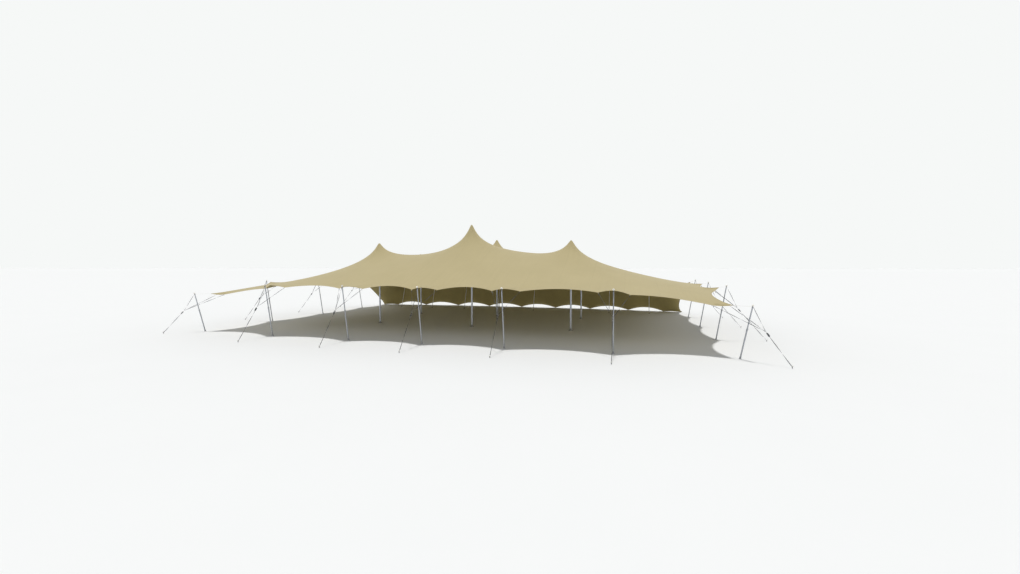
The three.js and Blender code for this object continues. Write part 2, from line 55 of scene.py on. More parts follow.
# Edge poles
FRONT_POLE_X = (0.0, 4.0, 8.7, 13.55)
FRONT_ROW_Y, FRONT_ROW_BOW = -8.82, 0.40
SIDE_POLE_X, SIDE_POLE_Y = 13.55, (-3.7, 1.2, 6.3)
EDGE_POLE_TOP, EDGE_POLE_LEAN = 2.74, 0.43
CORNER_POLE_TOP, CORNER_POLE_LEAN = 2.19, 0.45
CAP_LENGTH, NECK_LENGTH, COLLAR_SHARE = 0.070, 0.060, 0.53

# Back props
PROP_X = (-10.62, -7.60, -4.52, -1.43, 1.66, 4.76, 7.86, 10.92)
PROP_BASE_Y, PROP_TOP_Y, PROP_TOP_Z = 8.10, 8.85, 2.20

# Edge of the sheet
TIP_X = np.array([0.0, 4.0, 8.7, 13.3])
HALF_WIDTH, TIP_Y, TIP_BOW, TIP_Z, CORNER_TIP_Z = 13.3, -8.87, 0.65, 2.65, 2.10
SIDE_TIP_X, SIDE_TIP_Z = 13.64, (2.60, 2.60, 2.53)
CUSP_REACH, FRONT_SCALLOP, FRONT_DROP = 0.66, 0.62, 0.12
FRONT_ARCH, TIP_ARCH = np.array([0.150, 0.115, 0.065]), np.array([0.02, 0.02, 0.02, -0.035])
SIDE_SCALLOP, SIDE_ARCH = np.array([0.54, 0.42, 0.42, 0.43]), np.array([0.04, 0.0, 0.0, 0.0])
SIDE_DROP, WING_SAG = np.array([0.0, 0.075, 0.075, 0.075, 0.0]), 0.25
HEM_PEG_X = np.array([0.0, 3.10, 6.15, 9.36, 12.05, 13.30])
HEM_CORNER_X, HEM_Y, HEM_BOW = 13.50, 10.86, 0.99
HEM_ARCH, HEM_ARCH_LAST, HEM_ARCH_PULL = 0.30, 0.04, 0.15

# Tension of the sheet, and how far its edges reach in
PEAK_ROUND, KING_SOFTNESS, PROP_SOFTNESS, RIM_SOFTNESS = 0.08, 0.14, 0.50, 0.90
FRONT_REACH, BACK_REACH, SIDE_REACH = 5.0, 3.5, 3.5

# Guys
GUY_JOINT, CORNER_JOINT = (0.50, 1.60), (0.48, 1.20)
FRONT_PEG_OUT, SIDE_PEG_OUT, CORNER_PEG = 2.07, 2.25, (1.40, -1.23)
RATCHET_ALONG, RATCHET_LENGTH = 0.06, 0.17
PEG_HEIGHT, PEG_LEAN = 0.10, 0.22

CLOTH = 0.003
ROOT = "root"

# Largest steps between stations: on the sheet, along its free edges and along the hem
GRID_STEP, EDGE_STEP, HEM_STEP = 0.15, 1.3, 1.6
BACK_STEPS = 8


def put_in_scene(name, data):
    """New object at the origin that shows the given mesh, light or camera."""
    thing = bpy.data.objects.new(name, data)
    bpy.context.scene.collection.objects.link(thing)
    return thing


# Camera, where the photograph was taken from

# Width of the photograph and the focal length in its pixels, width of the film in millimetres
PHOTO_WIDTH, FOCAL_PIXELS, FILM_WIDTH = 1020.0, 427.26, 36.0
CAMERA_PLACE, CAMERA_YAW, CAMERA_PITCH, CAMERA_ROLL = (9.217, -26.884, 3.602), 15.310, 2.651, -0.049


def aim_camera():
    """Camera turned about z by the yaw, tipped down by the pitch, and rolled about its own view."""
    data = bpy.data.cameras.new("camera")
    data.sensor_width = FILM_WIDTH
    data.lens = FILM_WIDTH * FOCAL_PIXELS / PHOTO_WIDTH
    data.clip_end = 2000.0
    camera = put_in_scene("camera", data)
    yaw, pitch, roll = (math.radians(a) for a in (CAMERA_YAW, CAMERA_PITCH, CAMERA_ROLL))
    turn = Matrix.Rotation(yaw, 4, "Z") @ Matrix.Rotation(math.pi / 2 - pitch, 4, "X")
    camera.matrix_world = Matrix.Translation(CAMERA_PLACE) @ (turn @ Matrix.Rotation(-roll, 4, "Z"))
    bpy.context.scene.camera = camera


# Shape of the sheet

def bay_at(place, stations):
    """Number of the bay that holds each place, and the share of the way across it."""
    k = np.clip(np.searchsorted(stations, place, side="left") - 1, 0, len(stations) - 2)
    return k, (place - stations[k]) / (stations[k + 1] - stations[k])


def parabola(t):
    """0 at both ends of 0..1 and 1 in the middle."""
    return 1 - (2 * t - 1) ** 2


def scallop(to_start, to_end, drop_start, drop_end, arch):
    """Height of the edge over the straight line from tip to tip: down evenly from each tip to its
    cusp, and a parabolic arch from cusp to cusp."""
    share = np.clip((to_start - CUSP_REACH) / (to_start + to_end - 2 * CUSP_REACH), 0, 1)
    drop = drop_start + (drop_end - drop_start) * share
    return arch * parabola(share) - drop * np.clip(np.minimum(to_start, to_end) / CUSP_REACH, 0, 1)


def tip_y(x):
    """Line of the front tips, which bows back by the fourth power of x."""
    return TIP_Y + TIP_BOW * (x / HALF_WIDTH) ** 4


def front_edge(x):
    """Straight from tip to tip, pushed in by a parabola and scalloped in height, with a slight
    parabolic arch between each tip and its cusps."""
    k, t = bay_at(x, TIP_X)
    x0, x1 = TIP_X[k], TIP_X[k + 1]
    z1 = np.where(k == len(TIP_X) - 2, CORNER_TIP_Z, TIP_Z)
    y = tip_y(x0) + (tip_y(x1) - tip_y(x0)) * t + FRONT_SCALLOP * parabola(t)
    near = lambda d: parabola(np.clip(d / CUSP_REACH, 0, 1))
    z = (TIP_Z + (z1 - TIP_Z) * t + scallop(x - x0, x1 - x, FRONT_DROP, FRONT_DROP, FRONT_ARCH[k])
         + TIP_ARCH[k] * near(x - x0) + TIP_ARCH[k + 1] * near(x1 - x))
    return y, z


def hem_edge(x):
    """Low parabolic arches between the pegs, whose line bows in by the cube of x."""
    k, t = bay_at(x, HEM_PEG_X)
    arch = np.where(k == len(HEM_PEG_X) - 2, HEM_ARCH_LAST, HEM_ARCH)
    line = HEM_Y - HEM_BOW * (HEM_PEG_X / HEM_PEG_X[-1]) ** 3
    y = line[k] + (line[k + 1] - line[k]) * t - HEM_ARCH_PULL * (arch / HEM_ARCH) * parabola(t)
    return y, arch * parabola(t)


END_Y = np.array([tip_y(HALF_WIDTH), *SIDE_POLE_Y, HEM_Y - HEM_BOW])
END_X = np.array([HALF_WIDTH, SIDE_TIP_X, SIDE_TIP_X, SIDE_TIP_X, HEM_CORNER_X])
END_Z = np.array([CORNER_TIP_Z, *SIDE_TIP_Z, 0.0])


def end_edge(y):
    """Scallops between the end's tips, then one long wing that falls to the ground corner."""
    k, t = bay_at(y, END_Y)
    t = np.clip(t, 0, 1)
    wing = k == len(END_Y) - 2
    x = END_X[k] + (END_X[k + 1] - END_X[k]) * t - SIDE_SCALLOP[k] * parabola(t)
    z = END_Z[k] + (END_Z[k + 1] - END_Z[k]) * t
    span = END_Y[k + 1] - END_Y[k]
    bays = scallop(t * span, (1 - t) * span, SIDE_DROP[k], SIDE_DROP[k + 1], SIDE_ARCH[k])
    return x, z + np.where(wing, -WING_SAG * np.sin(np.pi * t), bays)


def stations(points, step):
    """Every given point once, in order, with the gaps between them filled evenly to a largest step."""
    points = sorted({round(float(p), 9) for p in points})
    count = lambda gap: math.ceil(gap / step - 1e-9)
    filled = [np.linspace(a, b, count(b - a) + 1)[:-1] for a, b in zip(points, points[1:])]
    return np.concatenate([*filled, points[-1:]])


def around_tips(tips):
    return [t + d for t in tips for d in (-CUSP_REACH, 0, CUSP_REACH)]


def within(points, low, high):
    return [p for p in points if low - 1e-6 <= p <= high + 1e-6]


def carried_points():
    """Rows of x, y, z and softness for each point that carries the sheet."""
    fx = stations(within(around_tips(TIP_X), 0, HALF_WIDTH), EDGE_STEP)
    ey = stations([*END_Y, *around_tips(SIDE_POLE_Y)], EDGE_STEP)[1:-1]
    hx = stations(HEM_PEG_X, HEM_STEP)
    rim = np.concatenate([
        np.column_stack([fx, *front_edge(fx)]),
        np.column_stack([end_edge(ey)[0], ey, end_edge(ey)[1]]),
        np.column_stack([hx, *hem_edge(hx)]),
    ])
    mirrored = rim[rim[:, 0] > 1e-3] * (-1, 1, 1)
    kings = np.array(list(KING_POLES.values()))
    props = np.array([(x, PROP_TOP_Y, PROP_TOP_Z) for x in PROP_X])
    groups = ((kings, KING_SOFTNESS), (props, PROP_SOFTNESS), (rim, RIM_SOFTNESS), (mirrored, RIM_SOFTNESS))
    return np.concatenate([np.column_stack([p, np.full(len(p), s)]) for p, s in groups])


def well(distance, softness):
    """Minus the log of the distance, softened and rounded off close to the point."""
    return -np.log(np.hypot(distance, PEAK_ROUND) + softness)


CARRIED = carried_points()


def pull_of_each():
    """Weights that make the sum of wells, plus a constant, pass through every carried point."""
    x, y, z, soft = CARRIED.T
    n = len(CARRIED)
    matrix = np.ones((n + 1, n + 1))
    matrix[:n, :n] = well(np.hypot(x[:, None] - x, y[:, None] - y), soft)
    matrix[n, n] = 0
    return np.linalg.solve(matrix, [*z, 0])


PULLS = pull_of_each()


def tension_height(x, y):
    """Height of the sheet: the sum over carried points of pull times well, plus a constant."""
    height = np.full(np.shape(x), PULLS[-1])
    for (cx, cy, _, soft), pull in zip(CARRIED, PULLS):
        height += pull * well(np.hypot(x - cx, y - cy), soft)
    return height


def fade(distance, reach):
    """1 at no distance, falling as a square to 0 at the reach."""
    return np.clip(1 - distance / reach, 0, 1) ** 2


def bend(x, y):
    """Moves a place on the flat rectangle so that its four sides lie on the edge curves."""
    a = np.abs(x)
    depth = (y + (front_edge(a)[0] - TIP_Y) * fade(y - TIP_Y, FRONT_REACH)
             + (hem_edge(a)[0] - HEM_Y) * fade(HEM_Y - y, BACK_REACH))
    out = (end_edge(depth)[0] - HALF_WIDTH) * fade(HALF_WIDTH - a, SIDE_REACH)
    peak = PEAK_SHIFT * fade(np.hypot(x, y - KING_ROW_Y[0]), PEAK_SHIFT_REACH)
    return x + np.sign(x) * out + peak, depth


def front_miss(x):
    """How far the front edge's curve lies over the tension height there."""
    return front_edge(np.abs(x))[1] - tension_height(*bend(x, np.full(np.shape(x), TIP_Y)))


def back_miss(x):
    """How far the hem's curve lies over the tension height there."""
    return hem_edge(np.abs(x))[1] - tension_height(*bend(x, np.full(np.shape(x), HEM_Y)))


def end_miss(y):
    """How far an end's curve lies over the tension height there."""
    px, py = bend(np.full(np.shape(y), HALF_WIDTH), y)
    return end_edge(py)[1] - tension_height(px, py)


FRONT_CORNER_MISS = front_miss(np.array([HALF_WIDTH]))[0]
BACK_CORNER_MISS = back_miss(np.array([HALF_WIDTH]))[0]


def sheet_points(x, y):
    """Underside of the sheet at places on the flat rectangle: the tension height, corrected near
    each side by how far it misses that side's edge curve."""
    px, py = bend(x, y)
    front, back = fade(y - TIP_Y, FRONT_REACH / 2), fade(HEM_Y - y, BACK_REACH / 2)
    end = fade(HALF_WIDTH - np.abs(x), SIDE_REACH / 2)
    z = (tension_height(px, py) + front_miss(x) * front + back_miss(x) * back
         + (end_miss(y) - FRONT_CORNER_MISS * front - BACK_CORNER_MISS * back) * end)
    return np.stack([px, py, z], axis=-1)


def unit(v):
    return v / np.linalg.norm(v, axis=-1, keepdims=True)


def height_over(x, y):
    """Height of the underside's facets over a place on the ground: the place on the flat rectangle
    that bends to it is found by stepping back, eight times over, by how far the bend misses it, and
    the height there lies on the triangle of grid points round it, cut from its quad's first corner
    to its third."""
    flat_x, flat_y = x, y
    for _ in range(BACK_STEPS):
        bent_x, bent_y = bend(flat_x, flat_y)
        flat_x, flat_y = flat_x + x - bent_x, flat_y + y - bent_y
    grid_x, grid_y = sheet_grid()
    j, s = bay_at(flat_x, grid_x[0])
    i, t = bay_at(flat_y, grid_y[:, 0])
    corner = lambda down, right: sheet_points(grid_x[0][j + right], grid_y[i + down, 0])[..., 2]
    a, b, c, d = corner(0, 0), corner(0, 1), corner(1, 1), corner(1, 0)
    return np.where(s > t, a + (b - a) * s + (c - b) * t, a + (d - a) * t + (c - d) * s)


def sheet_normals(x, y, step=0.01):
    """Upward normal: the cross product of two short differences taken inwards from the edges."""
    x0, x1 = np.clip(x - step, -HALF_WIDTH, HALF_WIDTH), np.clip(x + step, -HALF_WIDTH, HALF_WIDTH)
    y0, y1 = np.clip(y - step, TIP_Y, HEM_Y), np.clip(y + step, TIP_Y, HEM_Y)
    across, along = sheet_points(x1, y) - sheet_points(x0, y), sheet_points(x, y1) - sheet_points(x, y0)
    return unit(np.cross(across, along))


# Meshes made of grids of points

WELD = 2e-6


def run_along(path):
    """Distance from a path's start to each of its points, as the sum of the straight steps."""
    return np.concatenate([[0], np.cumsum(np.linalg.norm(np.diff(path, axis=0), axis=1))])


def pairs(u, v):
    """Grid of (u, v): a column for each u and a row for each v."""
    return np.stack(np.meshgrid(u, v), axis=-1)


def grid_part(points, finish, uv=None):
    """One open grid of points, rows by columns, as (points, quads, uv, finish). Where no uv is given,
    it is the distance across and along the grid in metres."""
    rows, columns = points.shape[:2]
    at = np.arange(rows * columns).reshape(rows, columns)
    quads = np.stack([at[:-1, :-1], at[:-1, 1:], at[1:, 1:], at[1:, :-1]], axis=-1).reshape(-1, 4)
    if uv is None:
        across = np.linalg.norm(np.diff(points, axis=1), axis=2).mean(axis=0)
        along = np.linalg.norm(np.diff(points, axis=0), axis=2).max(axis=1)
        uv = pairs(np.concatenate([[0], np.cumsum(across)]), np.concatenate([[0], np.cumsum(along)]))
    return points.reshape(-1, 3), quads, uv.reshape(-1, 2), finish


def flipped(part):
    """The same grid facing the other way. Each quad keeps its first corner, and so its diagonal, so
    that two layers a cloth's thickness apart never cross."""
    points, quads, uv, finish = part
    return points, quads[:, [0, 3, 2, 1]], uv, finish


def rim_of(grid):
    """Values round a grid's four sides, anticlockwise from its first corner and back to it."""
    return np.concatenate([grid[0], grid[1:, -1], grid[-1, -2::-1], grid[-2::-1, 0]])


def closed_layer(outer, inner, flat, outer_finish, inner_finish):
    """Two grids a little apart, joined by a narrow wall round their rims."""
    wall = np.stack([rim_of(inner), rim_of(outer)])
    return [
        grid_part(outer, outer_finish, flat),
        flipped(grid_part(inner, inner_finish, flat)),
        grid_part(wall, outer_finish, np.stack([rim_of(flat), rim_of(flat)])),
    ]


def add_piece(name, parts, finishes, sharp=35):
    """Joins grid parts into one mesh, welds their seams and poles, and rides it on the tent."""
    starts = np.cumsum([0] + [len(p[0]) for p in parts])
    points = np.concatenate([p[0] for p in parts])
    quads = np.concatenate([p[1] + s for p, s in zip(parts, starts)])
    uv = np.concatenate([p[2] for p in parts])[quads.ravel()]
    which = np.concatenate([np.full(len(p[1]), finishes.index(p[3])) for p in parts])
    mesh = bpy.data.meshes.new(name)
    mesh.vertices.add(len(points))
    mesh.vertices.foreach_set("co", points.astype(np.float32).ravel())
    mesh.loops.add(quads.size)
    mesh.loops.foreach_set("vertex_index", quads.astype(np.int32).ravel())
    mesh.polygons.add(len(quads))
    mesh.polygons.foreach_set("loop_start", np.arange(0, quads.size, 4, dtype=np.int32))
    mesh.polygons.foreach_set("material_index", which.astype(np.int32))
    mesh.polygons.foreach_set("use_smooth", np.ones(len(quads), dtype=bool))
    mesh.uv_layers.new(name="surface").data.foreach_set("uv", uv.astype(np.float32).ravel())
    mesh.update(calc_edges=True)
    for finish in finishes:
        mesh.materials.append(finish)
    bm = bmesh.new()
    bm.from_mesh(mesh)
    bmesh.ops.remove_doubles(bm, verts=bm.verts, dist=WELD)
    bmesh.ops.dissolve_degenerate(bm, dist=1e-7, edges=bm.edges)
    bm.to_mesh(mesh)
    bm.free()
    mesh.set_sharp_from_angle(angle=math.radians(sharp))
    piece = put_in_scene(name, mesh)
    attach(piece, ROOT)
    return piece


def square_to(axis):
    """Two unit vectors square to an axis and to each other, the first as level as can be."""
    axis = unit(np.asarray(axis, float))
    level = np.cross((0, 0, 1), axis) if abs(axis[2]) < 0.999 else np.array([1.0, 0, 0])
    level = unit(level)
    return level, np.cross(axis, level)


def circle_round(axis, sides):
    """Unit vectors square to an axis, once round it and back to the first."""
    a, b = square_to(axis)
    angle = np.linspace(0, 2 * np.pi, sides + 1)
    angle[-1] = 0
    return np.cos(angle)[:, None] * a + np.sin(angle)[:, None] * b


def turned(start, end, profile, finish, sides=28):
    """Turned surface: at each (radius, distance) of the profile, a circle round the line."""
    start, axis = np.asarray(start, float), unit(np.asarray(end, float) - start)
    profile = np.array(profile, float)
    radius, along = profile.T
    points = start + along[:, None, None] * axis + radius[:, None, None] * circle_round(axis, sides)
    girth = np.linspace(0, 2 * np.pi * max(radius), sides + 1)
    return grid_part(points, finish, pairs(girth, run_along(profile)))


def upright(foot, profile, finish, sides):
    """Turned surface round the plumb line through a foot."""
    return turned(foot, foot + (0, 0, 1), profile, finish, sides)


def carried_along(path, side, section, finish, turn=0.0):
    """A closed section carried along a path: each (across, up) of the section is laid off along the
    side vector and the vector square to it and to the path, both turned by `turn` at each point. Each
    end closes on the middle of its section."""
    path, side = np.asarray(path, float), np.broadcast_to(np.asarray(side, float), np.shape(path))
    along = unit(np.gradient(path, axis=0))
    side = unit(side - (side * along).sum(-1, keepdims=True) * along)
    up = np.cross(along, side)
    turn = np.broadcast_to(turn, len(path))[:, None]
    across = np.cos(turn) * side + np.sin(turn) * up
    up = np.cross(along, across)
    section = np.vstack([section, section[:1]])
    rows = path[:, None] + section[None, :, :1] * across[:, None] + section[None, :, 1:] * up[:, None]
    first, last = (row[None] * 0 + row[:-1].mean(axis=0) for row in (rows[0], rows[-1]))
    rows = np.concatenate([first, rows, last])
    return grid_part(rows, finish, pairs(run_along(section), np.pad(run_along(path), 1, mode="edge")))


def flat_section(width, thickness):
    """Strap section: a flat rectangle with its corners taken off, counter-clockwise."""
    w, t, c = width / 2, thickness / 2, thickness * 0.35
    return np.array([(-w, -t + c), (-w + c, -t), (w - c, -t), (w, -t + c),
                     (w, t - c), (w - c, t), (-w + c, t), (-w, t - c)])


def round_section(radius, sides):
    """Evenly spaced points on a circle, counter-clockwise."""
    angle = np.linspace(0, 2 * np.pi, sides, endpoint=False)
    return radius * np.column_stack([np.cos(angle), np.sin(angle)])


# Finishes

def opaque(colour, share=1.0):
    """Colour times a share, with nothing of it see-through."""
    return (*[c * share for c in colour], 1)


def new_finish(name, colour, roughness, metallic=0.0, sheen=0.0):
    """Material with one plain shader, and its tree and shader."""
    material = bpy.data.materials.new(name)
    material.use_nodes = True
    shader = material.node_tree.nodes["Principled BSDF"]
    shader.inputs["Base Color"].default_value = opaque(colour)
    shader.inputs["Roughness"].default_value = roughness
    shader.inputs["Metallic"].default_value = metallic
    shader.inputs["Sheen Weight"].default_value = sheen
    material.diffuse_color = opaque(colour)
    return material, material.node_tree, shader


def add_node(tree, kind, values=None, **settings):
    """A shader node; sockets in `values` are set to a number or linked from another node's output."""
    node = tree.nodes.new(kind)
    for key, value in settings.items():
        setattr(node, key, value)
    for key, value in (values or {}).items():
        if isinstance(value, bpy.types.NodeSocket):
            tree.links.new(value, node.inputs[key])
        else:
            node.inputs[key].default_value = value
    return node


def maths(tree, operation, a, b=0.0):
    return add_node(tree, "ShaderNodeMath", {0: a, 1: b}, operation=operation).outputs[0]


def plus(tree, a, b):
    return maths(tree, "ADD", a, b)


def times(tree, a, b):
    return maths(tree, "MULTIPLY", a, b)


def apart(tree, a, b):
    """Distance between two numbers."""
    return maths(tree, "ABSOLUTE", maths(tree, "SUBTRACT", a, b))


def weighted(tree, *terms):
    """Sum of each term's value times its weight."""
    (value, weight), *rest = terms
    share = times(tree, value, weight)
    return plus(tree, share, weighted(tree, *rest)) if rest else share


def mix_colours(tree, share, a, b):
    return add_node(tree, "ShaderNodeMix", {0: share, 6: a, 7: b}, data_type="RGBA").outputs[2]


def noise(tree, place, scale, detail, roughness):
    return add_node(tree, "ShaderNodeTexNoise",
                    {"Vector": place, "Scale": scale, "Detail": detail, "Roughness": roughness}).outputs["Fac"]


def waves(tree, place, scale, direction="X", distortion=0.0, detail=2.0):
    """Even waves that run along one direction, wandering a little where they are distorted."""
    values = {"Vector": place, "Scale": scale, "Distortion": distortion, "Detail": detail}
    return add_node(tree, "ShaderNodeTexWave", values, bands_direction=direction).outputs["Fac"]


def ramp(tree, value, low, high):
    """Value carried linearly from the range low..high to 0..1, and held there outside it."""
    return add_node(tree, "ShaderNodeMapRange", {0: value, 1: low, 2: high}).outputs[0]


def stretched(tree, place, scale):
    return add_node(tree, "ShaderNodeMapping", {"Vector": place, "Scale": scale}).outputs[0]


def bump(tree, shader, height, strength, distance):
    node = add_node(tree, "ShaderNodeBump", {"Height": height, "Strength": strength, "Distance": distance})
    tree.links.new(node.outputs[0], shader.inputs["Normal"])


def uv_place(tree):
    return add_node(tree, "ShaderNodeUVMap", uv_map="surface").outputs[0]


def object_place(tree):
    return add_node(tree, "ShaderNodeTexCoord").outputs["Object"]


def axes_of(tree, place):
    return add_node(tree, "ShaderNodeSeparateXYZ", {0: place}).outputs


def to_line(tree, place, spacing):
    """Distance in metres to the nearest of evenly spaced lines across one coordinate."""
    shifted = plus(tree, maths(tree, "DIVIDE", place, spacing), 0.5)
    return times(tree, apart(tree, maths(tree, "FRACT", shifted), 0.5), spacing)


# Rolls of cloth: their width, how far from the joint a lap starts to thin out and ends, the row of
# stitches' distance from the joint, and the stitches to a metre
ROLL_WIDTH, LAP_END, LAP_START, STITCH_ROW, STITCHES = 1.52, 0.022, 0.012, 0.011, 90.0


def cloth_finish(name, colour, dark, roughness, sheen):
    """Stretch cloth: rolls joined by flat seams, fine ribs, soft unevenness and faint creases."""
    material, tree, shader = new_finish(name, colour, roughness, sheen=sheen)
    flat = uv_place(tree)
    axes = axes_of(tree, flat)
    clouds = noise(tree, flat, 0.55, 3.0, 0.55)
    blotches = noise(tree, flat, 4.5, 4.0, 0.6)
    streaks = noise(tree, stretched(tree, flat, (7.0, 0.35, 1.0)), 1.0, 3.0, 0.5)
    uneven = weighted(tree, (clouds, 0.5), (blotches, 0.22), (streaks, 0.28))
    shade = mix_colours(tree, ramp(tree, uneven, 0.36, 0.64), opaque(dark), opaque(colour))
    seam = to_line(tree, axes[0], ROLL_WIDTH)
    lap = ramp(tree, seam, LAP_END, LAP_START)
    row = ramp(tree, apart(tree, seam, STITCH_ROW), 0.0035, 0.0015)
    gaps = maths(tree, "GREATER_THAN", maths(tree, "FRACT", times(tree, axes[1], STITCHES)), 0.4)
    shade = mix_colours(tree, times(tree, lap, 0.03), shade, opaque(dark, 0.55))
    shade = mix_colours(tree, times(tree, times(tree, row, gaps), 0.16), shade, opaque(dark, 0.45))
    tree.links.new(shade, shader.inputs["Base Color"])
    tree.links.new(plus(tree, times(tree, blotches, 0.12), roughness - 0.06), shader.inputs["Roughness"])
    ribs = waves(tree, flat, 90.0, distortion=0.4, detail=1.0)
    cells = add_node(tree, "ShaderNodeTexVoronoi", {"Vector": flat, "Scale": 0.75}, feature="DISTANCE_TO_EDGE")
    crease = ramp(tree, cells.outputs["Distance"], 0.0, 0.05)
    height = weighted(tree, (ribs, 0.12), (crease, 0.35), (lap, 0.7))
    bump(tree, shader, plus(tree, height, times(tree, clouds, 2.0)), 0.22, 0.004)
    return material


def webbing_finish(name, colour, dark, width):
    """Woven strap: a fine herringbone from crossed waves that raise the threads and paint shade into the
    hollows between them, with darker worn stretches and margins.
    """
    material, tree, shader = new_finish(name, colour, 0.85)
    place = uv_place(tree)
    weave_relief_and_shade = times(tree, waves(tree, place, 130.0, "DIAGONAL", 0.6), waves(tree, place, 260.0, "Y"))
    worn = noise(tree, place, 6.0, 4.0, 0.6)
    # The weave sets the colour as well as the bump: painted shade in its hollows; the worn stretches are real
    # tone
    share = weighted(tree, (weave_relief_and_shade, 0.45), (worn, 0.6))
    shade = mix_colours(tree, ramp(tree, share, 0.2, 0.7), opaque(dark), opaque(colour))
    from_middle = apart(tree, axes_of(tree, place)[0], width / 2)
    margin = ramp(tree, from_middle, width * 0.36, width * 0.42)
    shade = mix_colours(tree, times(tree, margin, 0.35), shade, opaque(dark))
    tree.links.new(shade, shader.inputs["Base Color"])
    bump(tree, shader, weave_relief_and_shade, 0.5, 0.0006)
    return material


def rope_finish(name, colour, dark):
    """Laid rope: three strands wound round it, as slanting waves across its own length, which raise the
    strands and paint shade into the grooves between them, mixed with random fibre tone.
    """
    material, tree, shader = new_finish(name, colour, 0.8)
    place = uv_place(tree)
    strand_relief_and_shade = waves(tree, stretched(tree, place, (2.0, 1.0, 1.0)), 9.0, "DIAGONAL")
    # The strands' waves set the colour as well as the bump: painted shade in the grooves, plus random fibre
    # tone
    share = weighted(tree, (strand_relief_and_shade, 0.7), (noise(tree, place, 180.0, 3.0, 0.6), 0.3))
    tree.links.new(mix_colours(tree, share, opaque(dark), opaque(colour)), shader.inputs["Base Color"])
    bump(tree, shader, share, 0.6, 0.002)
    return material


# How a metal's streaks are drawn out across and along it, the height that scuffs reach over the
# ground, and the colour of the dirt in them
DRAWN_GRAIN, CAST_GRAIN, ROLLED_GRAIN = (60.0, 2.0, 1.0), (20.0, 20.0, 1.0), (30.0, 30.0, 1.0)
SCUFF_TOP, SCUFF_FULL, EARTH = 0.45, 0.02, (0.16, 0.14, 0.11)


def metal_finish(name, colour, dark, roughness, grain=DRAWN_GRAIN, metallic=0.9):
    """Metal with streaks along its grain, small dull patches and scuffs towards the ground."""
    material, tree, shader = new_finish(name, colour, roughness, metallic)
    place = object_place(tree)
    streaks = noise(tree, stretched(tree, uv_place(tree), grain), 1.0, 5.0, 0.65)
    patches = noise(tree, place, 9.0, 4.0, 0.6)
    scuffs = ramp(tree, noise(tree, place, 42.0, 4.0, 0.7), 0.42, 0.62)
    low = times(tree, ramp(tree, axes_of(tree, place)[2], SCUFF_TOP, SCUFF_FULL), scuffs)
    share = weighted(tree, (streaks, 0.55), (patches, 0.45))
    shade = mix_colours(tree, ramp(tree, share, 0.38, 0.62), opaque(dark), opaque(colour))
    shade = mix_colours(tree, times(tree, low, 0.5), shade, opaque(EARTH))
    tree.links.new(shade, shader.inputs["Base Color"])
    rough = weighted(tree, (share, 0.22), (low, 0.25))
    tree.links.new(plus(tree, rough, roughness - 0.1), shader.inputs["Roughness"])
    bump(tree, shader, streaks, 0.12, 0.0008)
    return material


def moulded_finish(name, colour, dark, roughness):
    """Moulded rubber or plastic: fine pimples, and dust that dulls it in soft patches."""
    material, tree, shader = new_finish(name, colour, roughness)
    place = object_place(tree)
    dust = noise(tree, place, 14.0, 4.0, 0.6)
    shade = mix_colours(tree, ramp(tree, dust, 0.35, 0.7), opaque(colour), opaque(dark))
    tree.links.new(shade, shader.inputs["Base Color"])
    tree.links.new(plus(tree, times(tree, dust, 0.2), roughness - 0.08), shader.inputs["Roughness"])
    bump(tree, shader, noise(tree, place, 420.0, 2.0, 0.5), 0.15, 0.0005)
    return material


# Widths of the webbing
TAPE_WIDTH, STRAP_MARGINS = 0.05, 0.028

SAND_TOP = cloth_finish("sand_cloth", (0.474, 0.401, 0.215), (0.447, 0.377, 0.200), 0.80, 0.06)
# Underside cloth: a darker, browner copy of the sand cloth, as painted shade for the face that lies in the
# canopy's shadow
UNDER_CLOTH_PAINTED_SHADE = cloth_finish("underside_cloth_painted_shade", (0.318, 0.262, 0.106), (0.293, 0.240, 0.096), 0.88, 0.0)
HEM_TAPE = webbing_finish("sand_hem_tape", (0.455, 0.385, 0.208), (0.395, 0.333, 0.178), TAPE_WIDTH)
# Underside tape: a darker, browner copy of the hem tape, as painted shade for the faces under the canopy
UNDER_TAPE_PAINTED_SHADE = webbing_finish("underside_tape_painted_shade", (0.286, 0.233, 0.095), (0.232, 0.188, 0.077), TAPE_WIDTH)
GREY_STRAP = webbing_finish("dark_grey_webbing", (0.085, 0.090, 0.105), (0.045, 0.048, 0.056), STRAP_MARGINS)
PALE_STRAP = webbing_finish("pale_webbing", (0.700, 0.670, 0.600), (0.520, 0.490, 0.420), STRAP_MARGINS)
TUBE = metal_finish("satin_tube", (0.420, 0.441, 0.480), (0.345, 0.366, 0.403), 0.42)
# Tube of the king poles: a paler copy of the satin tube, as painted light for the light that the shade under
# the canopy lacks
KING_TUBE_PAINTED_LIGHT = metal_finish("satin_tube_painted_light", (0.620, 0.650, 0.720), (0.530, 0.560, 0.630), 0.42)
# Tube of the props: a much paler, nearly non-metallic copy of the satin tube, as painted light for the light
# that the shade under the canopy lacks
PROP_TUBE_PAINTED_LIGHT = metal_finish("prop_tube_painted_light", (0.840, 0.850, 0.880), (0.760, 0.770, 0.800), 0.5,
                         metallic=0.1)
CLAMP = metal_finish("cast_clamp", (0.410, 0.428, 0.458), (0.342, 0.358, 0.385), 0.5, CAST_GRAIN)
STEEL = metal_finish("zinc_steel", (0.380, 0.390, 0.410), (0.240, 0.250, 0.270), 0.42, ROLLED_GRAIN)
DARK_STEEL = metal_finish("dark_ratchet_steel", (0.150, 0.155, 0.170), (0.095, 0.099, 0.110), 0.45,
                          ROLLED_GRAIN, 0.7)
RUBBER = moulded_finish("black_rubber", (0.030, 0.030, 0.032), (0.085, 0.080, 0.070), 0.7)
CREAM_CAP = moulded_finish("cream_cap", (0.860, 0.845, 0.790), (0.720, 0.700, 0.640), 0.45)
